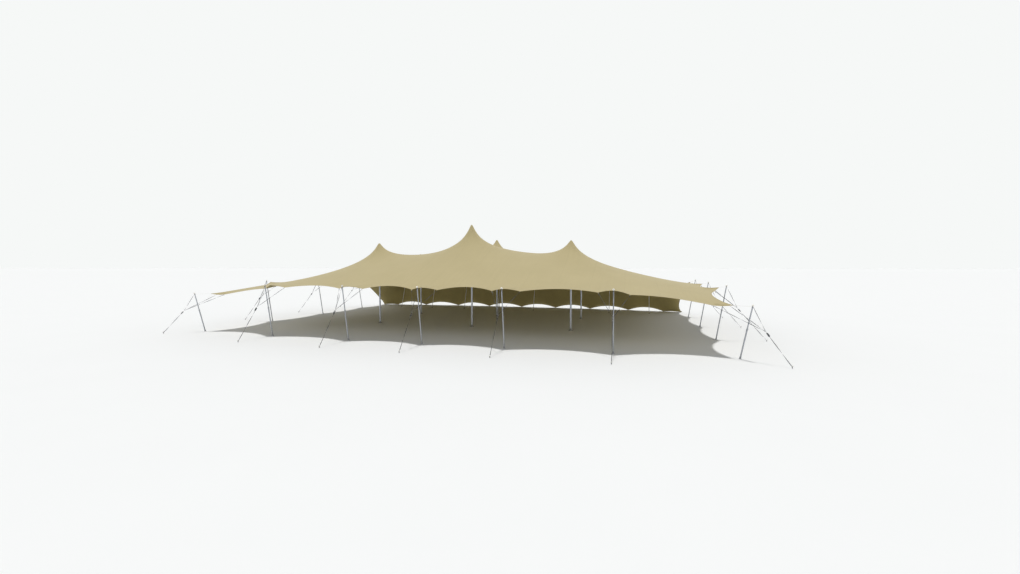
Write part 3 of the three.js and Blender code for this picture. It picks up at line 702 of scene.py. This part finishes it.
ROPE = rope_finish("laid_rope", (0.560, 0.530, 0.460), (0.300, 0.280, 0.230))


# The sheet

# Distances from a peak of the extra stations round it
CROWD = (0.025, 0.05, 0.08, 0.115, 0.155, 0.2, 0.25, 0.31, 0.38, 0.46, 0.56, 0.68)

# Hem tape: its skin, its fold's reach beyond the edge, and the least height over the ground
TAPE_SKIN, TAPE_FOLD, TAPE_GROUND = 0.0014, 0.0035, 0.0005

# Patches round the peaks: half their side above and below, their lift and its share at the rim, and
# how deep they sink into the cloth
PATCH_ABOVE, PATCH_BELOW = 0.38, 0.31
PATCH_LIFT, PATCH_RIM_SHARE, PATCH_SINK = 0.0028, 0.3, 0.0008

# Straps sewn at the tips: where they start and end, their width and thickness, their lift, the least
# height over the ground, and how far the side ones turn towards the cusps
TIP_STRAP_START, TIP_STRAP_END, TIP_STRAP_WIDTH, TIP_STRAP_THICKNESS = 0.012, 0.62, 0.045, 0.0022
TIP_STRAP_LIFT, TIP_STRAP_GROUND, TIP_STRAP_SPREAD = 0.0028, 0.002, 0.75


def crowded(centre):
    """Extra stations close to a peak, where the sheet turns sharply, wider apart away from it."""
    return [centre, *(centre + s * d for d in CROWD for s in (-1, 1))]


def both_sides(right):
    """Values from 0 on, with their mirror images before them."""
    right = np.asarray(right)
    return np.concatenate([-right[:0:-1], right])


def sheet_grid():
    """Places on the flat rectangle, with a station at every peak, tip, cusp and peg."""
    half = within([*around_tips(TIP_X), *crowded(0), *crowded(KING_PITCH), *HEM_PEG_X[:-1]], 0, HALF_WIDTH)
    peaks = [y for row in KING_ROW_Y for y in crowded(row)]
    rows = stations([TIP_Y, HEM_Y, PROP_TOP_Y, *around_tips(SIDE_POLE_Y), *peaks], GRID_STEP)
    return np.meshgrid(both_sides(stations(half, GRID_STEP)), rows)


def rim_places(step_in=0.0):
    """Places along the four sides of the flat rectangle, anticlockwise from the front left corner,
    each moved inwards by a distance."""
    x, y = sheet_grid()
    inset = lambda v, low, high: np.clip(v, low + step_in, high - step_in)
    return rim_of(inset(x, -HALF_WIDTH, HALF_WIDTH)), rim_of(inset(y, TIP_Y, HEM_Y))


def make_sheet():
    """Upper and lower faces a cloth's thickness apart, joined by a narrow wall along the rim."""
    x, y = sheet_grid()
    under = sheet_points(x, y)
    upper = under + CLOTH * sheet_normals(x, y)
    parts = closed_layer(upper, under, np.stack([x, y], axis=-1), SAND_TOP, UNDER_CLOTH_PAINTED_SHADE)
    piece = add_piece("canopy_sheet", parts, [SAND_TOP, UNDER_CLOTH_PAINTED_SHADE], 50)
    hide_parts("canopy")
    return piece


def make_hem_tape():
    """Tape folded over the sheet's edge: a flat loop in the plane of the inward line and the normal,
    carried round all four sides."""
    x, y = rim_places()
    inner = sheet_points(*rim_places(TAPE_WIDTH))
    edge, normal = sheet_points(x, y), sheet_normals(x, y)
    inward = unit(inner - edge)
    normal = unit(normal - (normal * inward).sum(-1, keepdims=True) * inward)
    low, high = -TAPE_SKIN, CLOTH + TAPE_SKIN
    loop = np.array([(TAPE_WIDTH, low), (0.0, low), (-TAPE_FOLD, 0.0),
                     (-TAPE_FOLD, CLOTH), (0.0, high), (TAPE_WIDTH, high)])
    reach = np.linalg.norm(inner - edge, axis=-1)[:, None, None]
    across = np.where(loop[None, :, :1] == TAPE_WIDTH, reach, loop[None, :, :1])
    rows = edge[:, None] + across * inward[:, None] + loop[None, :, 1:] * normal[:, None]
    rows[..., 2] = np.maximum(rows[..., 2], TAPE_GROUND)
    run = run_along(edge)
    strips = ((slice(3, 6), TAPE_WIDTH, HEM_TAPE), (slice(1, 4), 0.005, HEM_TAPE),
              (slice(0, 2), TAPE_WIDTH, UNDER_TAPE_PAINTED_SHADE), ([5, 0], 0.005, UNDER_TAPE_PAINTED_SHADE))
    parts = []
    for which, width, finish in strips:
        strip = rows[:, which]
        parts.append(flipped(grid_part(strip, finish, pairs(np.linspace(0, width, strip.shape[1]), run))))
    piece = add_piece("hem_tape", parts, [HEM_TAPE, UNDER_TAPE_PAINTED_SHADE], 60)
    return piece


def peak_on_flat(name, x):
    """The front centre peak is drawn aside from the flat rectangle's middle, where it belongs."""
    return x - (PEAK_SHIFT if name.endswith("front_centre") else 0)


def peak_patch(name, x, y, half, above):
    """Square patch sewn round a peak: the sheet's own grid within `half` of it, raised off the cloth
    and pinched to it along the rim."""
    grid_x, grid_y = sheet_grid()
    near = lambda places, middle: places[np.abs(places - middle) < half + 1e-6]
    px, py = np.meshgrid(near(grid_x[0], peak_on_flat(name, x)), near(grid_y[:, 0], y))
    flat = np.stack([px, py], axis=-1)
    base, normal = sheet_points(px, py), sheet_normals(px, py)
    puff = np.ones((*px.shape, 1))
    puff[[0, -1]] = puff[:, [0, -1]] = PATCH_RIM_SHARE
    lift = puff * PATCH_LIFT
    if above:
        outer, inner = base + (CLOTH + lift) * normal, base + (CLOTH - PATCH_SINK) * normal
        return closed_layer(outer, inner, flat, SAND_TOP, SAND_TOP)
    outer, inner = base - lift * normal, base + PATCH_SINK * normal
    return [flipped(part) for part in closed_layer(outer, inner, flat, UNDER_CLOTH_PAINTED_SHADE, UNDER_CLOTH_PAINTED_SHADE)]


def make_peak_patches():
    """A patch above and a smaller one below the cloth at every peak."""
    parts = []
    for name, (x, y, _) in KING_POLES.items():
        parts += peak_patch(name, x, y, PATCH_ABOVE, True) + peak_patch(name, x, y, PATCH_BELOW, False)
    piece = add_piece("peak_patches", parts, [SAND_TOP, UNDER_CLOTH_PAINTED_SHADE], 50)
    return piece


def sewn_strip(start, end, above):
    """Webbing sewn flat on the sheet between two places of the flat rectangle, on its upper face if
    `above` and else on its lower face."""
    x, y = np.linspace(start, end, 9).T
    points, normal = sheet_points(x, y), sheet_normals(x, y)
    path = points + (CLOTH + TIP_STRAP_LIFT if above else -TIP_STRAP_LIFT) * normal
    path[:, 2] = np.maximum(path[:, 2], TIP_STRAP_GROUND)
    side = np.cross(normal, np.gradient(points, axis=0))
    section = flat_section(TIP_STRAP_WIDTH, TIP_STRAP_THICKNESS)
    return carried_along(path, side, section, HEM_TAPE if above else UNDER_TAPE_PAINTED_SHADE)


def inward_at(x, y):
    """Direction into the sheet from a place on its front or on an end, and from both at a corner."""
    return unit(np.array([-np.sign(x) if abs(x) == HALF_WIDTH else 0.0, 1.0 if y == TIP_Y else 0.0]))


def make_tip_straps(poles):
    """At every tip, above and below the cloth: a strap towards each cusp, leaning inwards, and one
    straight in."""
    parts = []
    for pole in poles:
        tip = np.array(pole.tip)
        to_cusps = [unit(np.array(cusp) - tip) * TIP_STRAP_SPREAD + inward_at(*cusp) for cusp in pole.cusps]
        for aim in [*map(unit, to_cusps), inward_at(*pole.tip)]:
            start, end = tip + aim * TIP_STRAP_START, tip + aim * TIP_STRAP_END
            parts += [sewn_strip(start, end, True), sewn_strip(start, end, False)]
    piece = add_piece("tip_straps", parts, [HEM_TAPE, UNDER_TAPE_PAINTED_SHADE])
    return piece


# Poles

# How a pole stands: its height and lean, and how far out and how high its guy's joint is
EDGE_STANCE = (EDGE_POLE_TOP, EDGE_POLE_LEAN, *GUY_JOINT)
CORNER_STANCE = (CORNER_POLE_TOP, CORNER_POLE_LEAN, *CORNER_JOINT)

# The props' pads: clearance to the cloth, and how many times they are slid back to reach it
PAD_CLEARANCE, PAD_STEPS = 0.002, 4


class EdgePole:
    """A leaning pole's line, and where its guy is fixed: all measured from the foot towards the peg."""

    def __init__(self, name, guy, foot, to_peg, stance, tip, cusps):
        top, lean, joint_out, joint_z = stance
        self.name, self.guy = name, guy
        self.tip, self.cusps = tip, cusps
        self.base, self.outward = np.array(foot, float), unit(np.array(to_peg, float))
        self.peg = self.base + to_peg
        self.head = self.base + self.outward * lean + (0, 0, top)
        self.length = np.linalg.norm(self.head - self.base)
        self.axis = (self.head - self.base) / self.length
        self.neck = self.base + self.axis * (self.length - CAP_LENGTH - NECK_LENGTH / 2)
        self.joint = self.head * (1, 1, 0) + self.outward * joint_out + (0, 0, joint_z)


def edge_poles():
    """Every leaning pole: seven along the front, left to right, then three along each end. The front
    row's feet bow back by the square of x."""
    poles = []
    for n, (x, tip_x) in enumerate(zip(both_sides(FRONT_POLE_X), both_sides(TIP_X)), 1):
        side = 1 if x >= 0 else -1
        foot = (x, FRONT_ROW_Y + FRONT_ROW_BOW * (x / SIDE_POLE_X) ** 2, 0)
        cusps = [(tip_x - side * CUSP_REACH, TIP_Y), (tip_x + side * CUSP_REACH, TIP_Y)]
        to_peg, stance = (0, -FRONT_PEG_OUT, 0), EDGE_STANCE
        if abs(x) == SIDE_POLE_X:
            cusps[1] = (tip_x, TIP_Y + CUSP_REACH)
            to_peg, stance = (side * CORNER_PEG[0], CORNER_PEG[1], 0), CORNER_STANCE
        names = (f"front_pole_{n}", f"front_guy_{n}")
        poles.append(EdgePole(*names, foot, to_peg, stance, (tip_x, TIP_Y), cusps))
    for side, word in ((-1, "left"), (1, "right")):
        for n, y in enumerate(SIDE_POLE_Y, 1):
            tip_x = side * HALF_WIDTH
            cusps = [(tip_x, y - CUSP_REACH), (tip_x, y + CUSP_REACH)]
            poles.append(EdgePole(f"{word}_pole_{n}", f"{word}_guy_{n}", (side * SIDE_POLE_X, y, 0),
                                  (side * SIDE_PEG_OUT, 0, 0), EDGE_STANCE, (tip_x, y), cusps))
    return poles


def rod(radius, start, end):
    """Profile of a plain cylinder."""
    return [(0, start), (radius, start), (radius, end), (0, end)]


def rounded(radius, start, end, edge):
    """Profile of a cylinder with both edges rounded by quarter circles."""
    a = np.linspace(0, np.pi / 2, 4)
    low = [(radius - edge + edge * math.sin(t), start + edge - edge * math.cos(t)) for t in a]
    high = [(radius - edge + edge * math.cos(t), end - edge + edge * math.sin(t)) for t in a]
    return [(0, start), *low, *high, (0, end)]


def band(inner, outer, start, end, edge):
    """Profile of a band round a tube, closed on itself. Each (in, along) of the edge is a point so
    far in from its outside and from either end."""
    low = [(outer - into, start + along) for into, along in edge]
    high = [(outer - into, end - along) for into, along in reversed(edge)]
    return [(inner, start), *low, *high, (inner, end), (inner, start)]


def bolt(centre, axis, radius, length, finish):
    """Round bolt head with a chamfer, standing out along an axis."""
    centre, axis = np.asarray(centre, float), unit(np.asarray(axis, float))
    profile = [(0, 0), (radius, 0), (radius, length * 0.7), (radius * 0.8, length), (0, length)]
    return turned(centre, centre + axis, profile, finish, 12)


def make_edge_pole(pole):
    """Two telescoping tubes turned about the leaning line, with clamp, neck, cap and footplate."""
    at = lambda d: pole.base + pole.axis * d
    leaning = lambda profile, finish, sides=28: turned(at(0), at(1), profile, finish, sides)
    collar = pole.length * COLLAR_SHARE
    cap = pole.length - CAP_LENGTH
    neck = cap - NECK_LENGTH
    parts = [
        upright(pole.base, rounded(0.055, 0.0, 0.010, 0.003), TUBE, 32),
        upright(pole.base, [(0, 0.008), (0.042, 0.008), (0.040, 0.020), (0.034, 0.032), (0, 0.034)],
                TUBE, 32),
        leaning([(0, 0.012), (0.024, 0.012), (0.0265, 0.016), (0.027, 0.02), (0.027, collar - 0.004),
                 (0.026, collar), (0, collar)], TUBE),
        leaning(band(0.0272, 0.0335, 0.016, 0.093, [(0.001, 0.002), (0, 0.008)]), CLAMP),
        leaning([(0, collar - 0.03), (0.023, collar - 0.03), (0.023, neck), (0.022, neck + 0.003),
                 (0.017, neck + 0.006), (0.017, cap + 0.004), (0, cap + 0.004)], TUBE),
        leaning(rounded(0.033, collar - 0.004, collar + 0.070, 0.003), CLAMP),
        *(leaning(band(0.0331, 0.0345, low, low + 0.009, [(0, 0.001)]), CLAMP)
          for low in (collar + 0.012, collar + 0.046)),
        leaning([(0, cap), (0.038, cap), (0.043, cap + 0.004), (0.044, cap + 0.010), (0.044, cap + 0.030),
                 (0.041, cap + 0.043), (0.034, cap + 0.055), (0.023, cap + 0.064), (0.011, cap + 0.069),
                 (0, cap + 0.070)], CREAM_CAP, 32),
    ]
    level, _ = square_to(pole.axis)
    for d in (-0.55, -0.40, -0.25, 0.16, 0.34):
        radius = 0.027 if d < 0 else 0.023
        for way in (level, -level):
            parts.append(bolt(at(collar + d) + way * (radius - 0.001), way, 0.0055, 0.004, CLAMP))
    for way, length in ((level, 0.012), (-level, 0.010)):
        parts.append(bolt(at(collar + 0.033) + way * 0.030, way, 0.009, length, STEEL))
    piece = add_piece(pole.name + "_tubes", parts, [TUBE, CLAMP, CREAM_CAP, STEEL])
    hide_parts(pole.name)


def dome_under_peak(name, x, y, top):
    """Profile of a pole head that fits the sheet: at each radius, just under the lowest point of the
    sheet's underside round the peak."""
    r = np.linspace(0.0, 0.085, 9)
    angle = np.linspace(0, 2 * np.pi, 24, endpoint=False)
    round_x = peak_on_flat(name, x) + r[:, None] * np.cos(angle)
    under = sheet_points(round_x, y + r[:, None] * np.sin(angle))[..., 2]
    low = np.minimum(under.min(axis=1), top) - 0.004
    return list(zip(r[::-1], low[::-1]))


def make_king_pole(name, x, y, top):
    """Straight tube in two lengths, with a sleeve, a footplate and a rubber head under the peak."""
    foot = np.array([x, y, 0.0])
    dome = dome_under_peak(name, x, y, top)
    skirt = dome[0][1]
    sleeve = top * 0.5
    parts = [
        upright(foot, rounded(0.130, 0.0, 0.012, 0.003), CLAMP, 48),
        upright(foot, [(0, 0.01), (0.072, 0.010), (0.072, 0.016), (0.056, 0.030), (0.054, 0.11),
                       (0.0505, 0.112), (0, 0.112)], CLAMP, 40),
        upright(foot, rod(0.050, 0.014, skirt - 0.10), KING_TUBE_PAINTED_LIGHT, 40),
        upright(foot, band(0.0501, 0.0550, sleeve - 0.15, sleeve + 0.15, [(0.0005, 0.004), (0, 0.008)]),
                KING_TUBE_PAINTED_LIGHT, 40),
        upright(foot, [(0, skirt - 0.135), (0.053, skirt - 0.135), (0.056, skirt - 0.131),
                       (0.058, skirt - 0.06), (0.080, skirt - 0.035), (0.085, skirt - 0.022), *dome],
                RUBBER, 40),
    ]
    for n in range(6):
        a = n * np.pi / 3 + 0.3
        place = foot + (0.098 * math.cos(a), 0.098 * math.sin(a), 0.011)
        parts.append(bolt(place, (0, 0, 1), 0.011, 0.007, STEEL))
    for z in (sleeve - 0.09, sleeve + 0.09):
        for way in (1, -1):
            parts.append(bolt(foot + (way * 0.053, 0, z), (way, 0, 0), 0.010, 0.009, STEEL))
    piece = add_piece(name + "_tube", parts, [KING_TUBE_PAINTED_LIGHT, CLAMP, RUBBER, STEEL])
    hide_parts(name)


def make_prop(n, x):
    """Thin pole turned about its leaning line, with a footplate and a soft round pad under the sheet,
    slid back along the line until the whole pad is clear of the cloth."""
    base, top = np.array([x, PROP_BASE_Y, 0.0]), np.array([x, PROP_TOP_Y, PROP_TOP_Z])
    axis = unit(top - base)
    leaning = lambda profile, finish: turned(base, base + axis, profile, finish, 24)
    pad = lambda d: leaning([(0, d - 0.075), (0.0225, d - 0.075), (0.024, d - 0.070), (0.026, d - 0.030),
                             (0.026, d - 0.018), (0.021, d - 0.006), (0.012, d - 0.001), (0, d)], RUBBER)
    reach = np.linalg.norm(top - base)
    for _ in range(PAD_STEPS):
        shell_x, shell_y, shell_z = pad(reach)[0].T
        reach -= max(0.0, PAD_CLEARANCE - (height_over(shell_x, shell_y) - shell_z).min())
    parts = [
        upright(base, rounded(0.075, 0.0, 0.012, 0.003), RUBBER, 32),
        upright(base, [(0, 0.010), (0.040, 0.010), (0.038, 0.020), (0.030, 0.034), (0, 0.036)], RUBBER, 32),
        leaning(rod(0.021, 0.012, reach - 0.05), PROP_TUBE_PAINTED_LIGHT),
        leaning(band(0.0211, 0.0245, 1.16, 1.218, [(0, 0.002)]), PROP_TUBE_PAINTED_LIGHT),
        pad(reach),
    ]
    piece = add_piece(f"back_prop_{n}_tube", parts, [PROP_TUBE_PAINTED_LIGHT, RUBBER])
    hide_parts(f"back_prop_{n}")


# Guys

LEG_WIDTH, MAIN_WIDTH, TAIL_WIDTH = 0.020, 0.024, 0.018
JOINT_REACH, STAKE_LOOP_Z = 0.028, 0.04


def under_at(x, y):
    """Underside of the sheet at one place on the flat rectangle."""
    return sheet_points(np.array([x]), np.array([y]))[0]


def on_stake(at, outward, height):
    """Point of a stake's line at a height over the ground."""
    return np.asarray(at, float) + np.asarray(outward, float) * (PEG_LEAN * height) + (0, 0, height)


def strap(start, end, width, finish, turns=None, thickness=0.0028):
    """Flat webbing pulled tight between two points and turned about its own line, as a strap is
    twisted to keep it from drumming in the wind."""
    start, end = np.asarray(start, float), np.asarray(end, float)
    length = np.linalg.norm(end - start)
    turns = length / 1.7 if turns is None else turns
    n = max(6, int(length / 0.05) if turns else 6)
    t = np.linspace(0, 1, n)
    ease = np.clip((t * length - 0.05) / max(length - 0.10, 1e-6), 0, 1)
    path = start + (end - start) * t[:, None]
    return carried_along(path, square_to(end - start)[0], flat_section(width, thickness), finish,
                         2 * np.pi * turns * ease)


def ring(centre, axis, radius, wire, finish, sides=28):
    """Round ring: a small circle carried round a larger one in the plane square to the axis."""
    out, axis = circle_round(axis, sides)[:, None], unit(np.asarray(axis, float))
    small = np.linspace(0, 2 * np.pi, 11)
    small[-1] = 0
    across, along = wire * np.cos(small)[None, :, None], wire * np.sin(small)[None, :, None]
    return grid_part(np.asarray(centre, float) + out * (radius + across) - axis * along, finish)


def plate(centre, along, side, outline, thickness, finish):
    """Flat plate: an outline in the plane of two vectors, given a thickness along the third."""
    along, side = unit(np.asarray(along, float)), unit(np.asarray(side, float))
    outline = np.array(outline, float)
    outline = np.vstack([outline, outline[:1]])
    flat = np.asarray(centre, float) + outline[:, :1] * along + outline[:, 1:] * side
    middle = flat[:-1].mean(axis=0)
    half = np.cross(along, side) * thickness / 2
    from_middle = flat - middle
    inset = middle + from_middle * (1 - thickness * 0.6 / np.linalg.norm(from_middle, axis=1, keepdims=True))
    rows = np.stack([flat * 0 + middle - half, inset - half, flat - half * 0.6,
                     flat + half * 0.6, inset + half, flat * 0 + middle + half])
    return grid_part(rows, finish)


def ratchet(top, down):
    """Ratchet buckle, laid along the strap: two side plates, a spool of wound strap between toothed
    wheels, two cross bars, and a folded handle with its grip."""
    down = unit(down)
    side, out = square_to(down)
    middle = top + down * (RATCHET_LENGTH / 2)
    place = lambda d, s, o: middle + down * d + side * s + out * o
    both = lambda d, s, o, outline: [plate(place(d, way * s, o), down, out, outline, 0.003, DARK_STEEL)
                                     for way in (-1, 1)]
    bar = lambda d, o, radius, half: turned(place(d, -half, o), place(d, half, o),
                                            rounded(radius, 0, 2 * half, radius * 0.3), DARK_STEEL, 16)
    body = [(-0.080, -0.010), (-0.074, -0.016), (0.040, -0.018), (0.078, -0.010), (0.082, 0.0),
            (0.076, 0.012), (0.050, 0.022), (0.000, 0.022), (-0.074, 0.010)]
    handle = [(-0.078, 0.012), (-0.070, 0.008), (0.010, 0.010), (0.052, 0.004), (0.060, 0.012),
              (0.052, 0.022), (0.000, 0.022), (-0.070, 0.021)]
    wheel = np.where(np.arange(24) % 2 == 0, 0.019, 0.0155)[:, None] * round_section(1, 24)
    return [
        *both(0, 0.024, 0, body),
        *both(0, 0.0285, 0.001, handle),
        *both(0.034, 0.020, 0.002, wheel),
        bar(0.034, 0.002, 0.0095, 0.030),
        bar(-0.070, -0.003, 0.0055, 0.026),
        bar(-0.070, 0.015, 0.0085, 0.0285),
        bar(0.066, 0.0, 0.005, 0.026),
        ring(place(0.034, 0, 0.002), side, 0.013, 0.005, GREY_STRAP),
    ]


def stake(at, outward):
    """Ground stake leaning away from the pull, with a round cap and a washer under it."""
    foot, top = on_stake(at, outward, 0.004), on_stake(at, outward, PEG_HEIGHT)
    reach = np.linalg.norm(top - foot)
    cap = [(0, reach - 0.021), (0.0235, reach - 0.021), (0.0265, reach - 0.017), (0.0265, reach - 0.008),
           (0.023, reach - 0.002), (0.014, reach), (0, reach)]
    return [
        turned(foot, top, rod(0.0125, 0, reach - 0.02), STEEL, 16),
        turned(foot, top, rod(0.020, reach - 0.026, reach - 0.021), STEEL, 20),
        turned(foot, top, cap, CREAM_CAP, 24),
    ]


def make_guy(pole):
    """Strap set of one pole: choker and tip strap at the neck, a leg to the joint, two legs from the
    cusps, then the main strap with its ratchet, down to the stake."""
    edge_at = lambda place: under_at(*place) + (0, 0, CLOTH / 2)
    tip = edge_at(pole.tip)
    loop = on_stake(pole.peg, pole.outward, STAKE_LOOP_Z)
    down = unit(loop - pole.joint)

    def from_neck(target):
        """Point on the choker's outside that faces a target."""
        way = target - pole.neck
        return pole.neck + unit(way - pole.axis * (way @ pole.axis)) * 0.024

    to_joint = from_neck(pole.joint)
    choker = [(0.0175, 0), (0.0235, 0.002), (0.0245, 0.015), (0.0235, 0.028), (0.0175, 0.030), (0.0175, 0)]
    parts = [
        turned(pole.neck - pole.axis * 0.015, pole.neck + pole.axis * 0.015, choker, GREY_STRAP),
        strap(to_joint, pole.joint + unit(to_joint - pole.joint) * JOINT_REACH, LEG_WIDTH, GREY_STRAP),
        strap(from_neck(tip), tip, MAIN_WIDTH, PALE_STRAP, turns=0),
        ring(pole.joint, square_to(down)[1], 0.024, 0.0042, STEEL),
    ]
    for cusp in pole.cusps:
        point = edge_at(cusp)
        way = unit(point - pole.joint)
        parts += [
            strap(pole.joint + way * JOINT_REACH, point - way * 0.085, LEG_WIDTH, GREY_STRAP),
            ring(point - way * 0.066, square_to(way)[1], 0.017, 0.0032, STEEL, 20),
            strap(point - way * 0.050, point + way * 0.004, MAIN_WIDTH, HEM_TAPE, turns=0, thickness=0.005),
            strap(point - way * 0.048, point - way * 0.050 - (0, 0, 0.055), TAIL_WIDTH, GREY_STRAP, turns=0),
        ]
    buckle = pole.joint + down * RATCHET_ALONG
    parts += [
        strap(pole.joint + down * JOINT_REACH, buckle + down * 0.014, MAIN_WIDTH, GREY_STRAP, turns=0),
        *ratchet(buckle, down),
        strap(buckle + down * (RATCHET_LENGTH - 0.016), loop - down * 0.03, MAIN_WIDTH, GREY_STRAP),
        ring(loop - down * 0.008, square_to(down)[1], 0.021, 0.0038, STEEL, 20),
        *stake(pole.peg, pole.outward),
    ]
    finishes = [GREY_STRAP, PALE_STRAP, STEEL, DARK_STEEL, CREAM_CAP, HEM_TAPE]
    piece = add_piece(pole.guy + "_straps", parts, finishes)
    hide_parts(pole.guy)


# Hem

# Ends of the rope's lengths; the rope's radius, its distance outside the edge and its least height;
# the stakes' distance outside the edge; and where two turns of rope lie round each stake
HEM_ENDS = (-14.0, -6.19, -0.04, 6.19, 14.0)
ROPE_RADIUS, ROPE_OUT, ROPE_LOW, HEM_STAKE_OUT = 0.008, 0.0115, 0.0085, 0.026
ROPE_TURNS = ((0, 0.004, 0.018), (0, 0.0025, 0.029))


def make_hem_line(n, low, high):
    """Rope along one length of the ground edge, carried just outside the hem tape, with its stakes."""
    flat_x = sheet_grid()[0][-1]
    edge = sheet_points(flat_x, np.full(len(flat_x), HEM_Y))
    keep = (edge[:, 0] >= low - 1e-6) & (edge[:, 0] <= high + 1e-6)
    path = edge[keep] + (0, ROPE_OUT, 0)
    path[:, 2] = np.maximum(path[:, 2] + CLOTH, ROPE_LOW)
    parts = [carried_along(path, (0, 0, 1), round_section(ROPE_RADIUS, 12), ROPE)]
    for peg_x in both_sides(HEM_PEG_X):
        if low < peg_x < high:
            at = under_at(peg_x, HEM_Y) * (1, 1, 0) + (0, HEM_STAKE_OUT, 0)
            parts += stake(at, (0, 1, 0))
            parts += [ring(at + turn, (0, 0.25, 1), 0.0185, 0.0055, ROPE, 24) for turn in ROPE_TURNS]
    piece = add_piece(f"hem_rope_{n}", parts, [ROPE, STEEL, CREAM_CAP])
    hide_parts(f"hem_line_{n}")


# Surroundings: pale floor and soft light

FLOOR_HALF, FLOOR_DROP = 1500, 0.001
FLOOR_MEAN, FLOOR_DARK, FLOOR_LIGHT = (0.848, 0.860, 0.872), (0.841, 0.853, 0.865), (0.855, 0.867, 0.879)
SKY_LOW, SKY_HIGH, SKY_BELOW = (0.922, 0.939, 0.930), (0.11, 0.115, 0.125), (0.02, 0.02, 0.02)
KEY_COLOUR, KEY_TURN = (1.0, 0.985, 0.955), (math.radians(-7), math.radians(-1), 0)
FILL_WAY = (0.30, 0.62, 0.72)


def make_floor():
    """Level pale floor, faintly mottled. It casts no shadow, so that light from below passes it."""
    material, tree, shader = new_finish("pale_floor", FLOOR_MEAN, 0.95)
    spots = noise(tree, object_place(tree), 0.35, 4.0, 0.5)
    shade = mix_colours(tree, spots, opaque(FLOOR_DARK), opaque(FLOOR_LIGHT))
    tree.links.new(shade, shader.inputs["Base Color"])
    mesh = bpy.data.meshes.new("floor")
    corners = [(x * FLOOR_HALF, y * FLOOR_HALF, -FLOOR_DROP) for x, y in ((-1, -1), (1, -1), (1, 1), (-1, 1))]
    mesh.from_pydata(corners, [], [(0, 1, 2, 3)])
    mesh.materials.append(material)
    floor = put_in_scene("floor", mesh)
    floor.visible_shadow = False


def make_sky():
    """Studio sky that is brightest low down, darker overhead and nearly black under the horizon."""
    world = bpy.data.worlds.new("soft_studio")
    world.use_nodes = True
    sky = world.node_tree
    up = axes_of(sky, add_node(sky, "ShaderNodeTexCoord").outputs["Generated"])[2]
    shade = mix_colours(sky, ramp(sky, up, 0.53, 0.72), opaque(SKY_LOW), opaque(SKY_HIGH))
    shade = mix_colours(sky, ramp(sky, up, -0.14, -0.09), opaque(SKY_BELOW), shade)
    sky.links.new(shade, sky.nodes["Background"].inputs["Color"])
    bpy.context.scene.world = world
    bpy.context.scene.view_settings.view_transform = "Standard"


def add_light(name, energy, spread, turn, colour=(1, 1, 1)):
    """Light from far off in one direction, softened over an angle in degrees."""
    light = bpy.data.lights.new(name, "SUN")
    light.energy, light.angle, light.color = energy, math.radians(spread), colour
    lamp = put_in_scene(name, light)
    lamp.rotation_euler = turn
    return lamp


def make_lights():
    """A soft key light above and a weak wide fill light that shines up and back on to the underside."""
    add_light("key", 2.15, 4, KEY_TURN, KEY_COLOUR)
    fill = add_light("fill", 0.40, 60, Vector(FILL_WAY).to_track_quat("-Z", "Y").to_euler())
    fill.visible_glossy = False


# Assembly

aim_camera()
make_floor()
make_sky()
make_lights()

POLES = edge_poles()
canopy_sheet = make_sheet()
hem_tape = make_hem_tape()
canopy_patches = make_peak_patches()
tip_straps = make_tip_straps(POLES)

for name, (x, y, top) in KING_POLES.items():
    make_king_pole(name, x, y, top)
for pole in POLES:
    make_edge_pole(pole)
    make_guy(pole)
for n, x in enumerate(PROP_X, 1):
    make_prop(n, x)
for n, (low, high) in enumerate(zip(HEM_ENDS, HEM_ENDS[1:]), 1):
    make_hem_line(n, low, high)
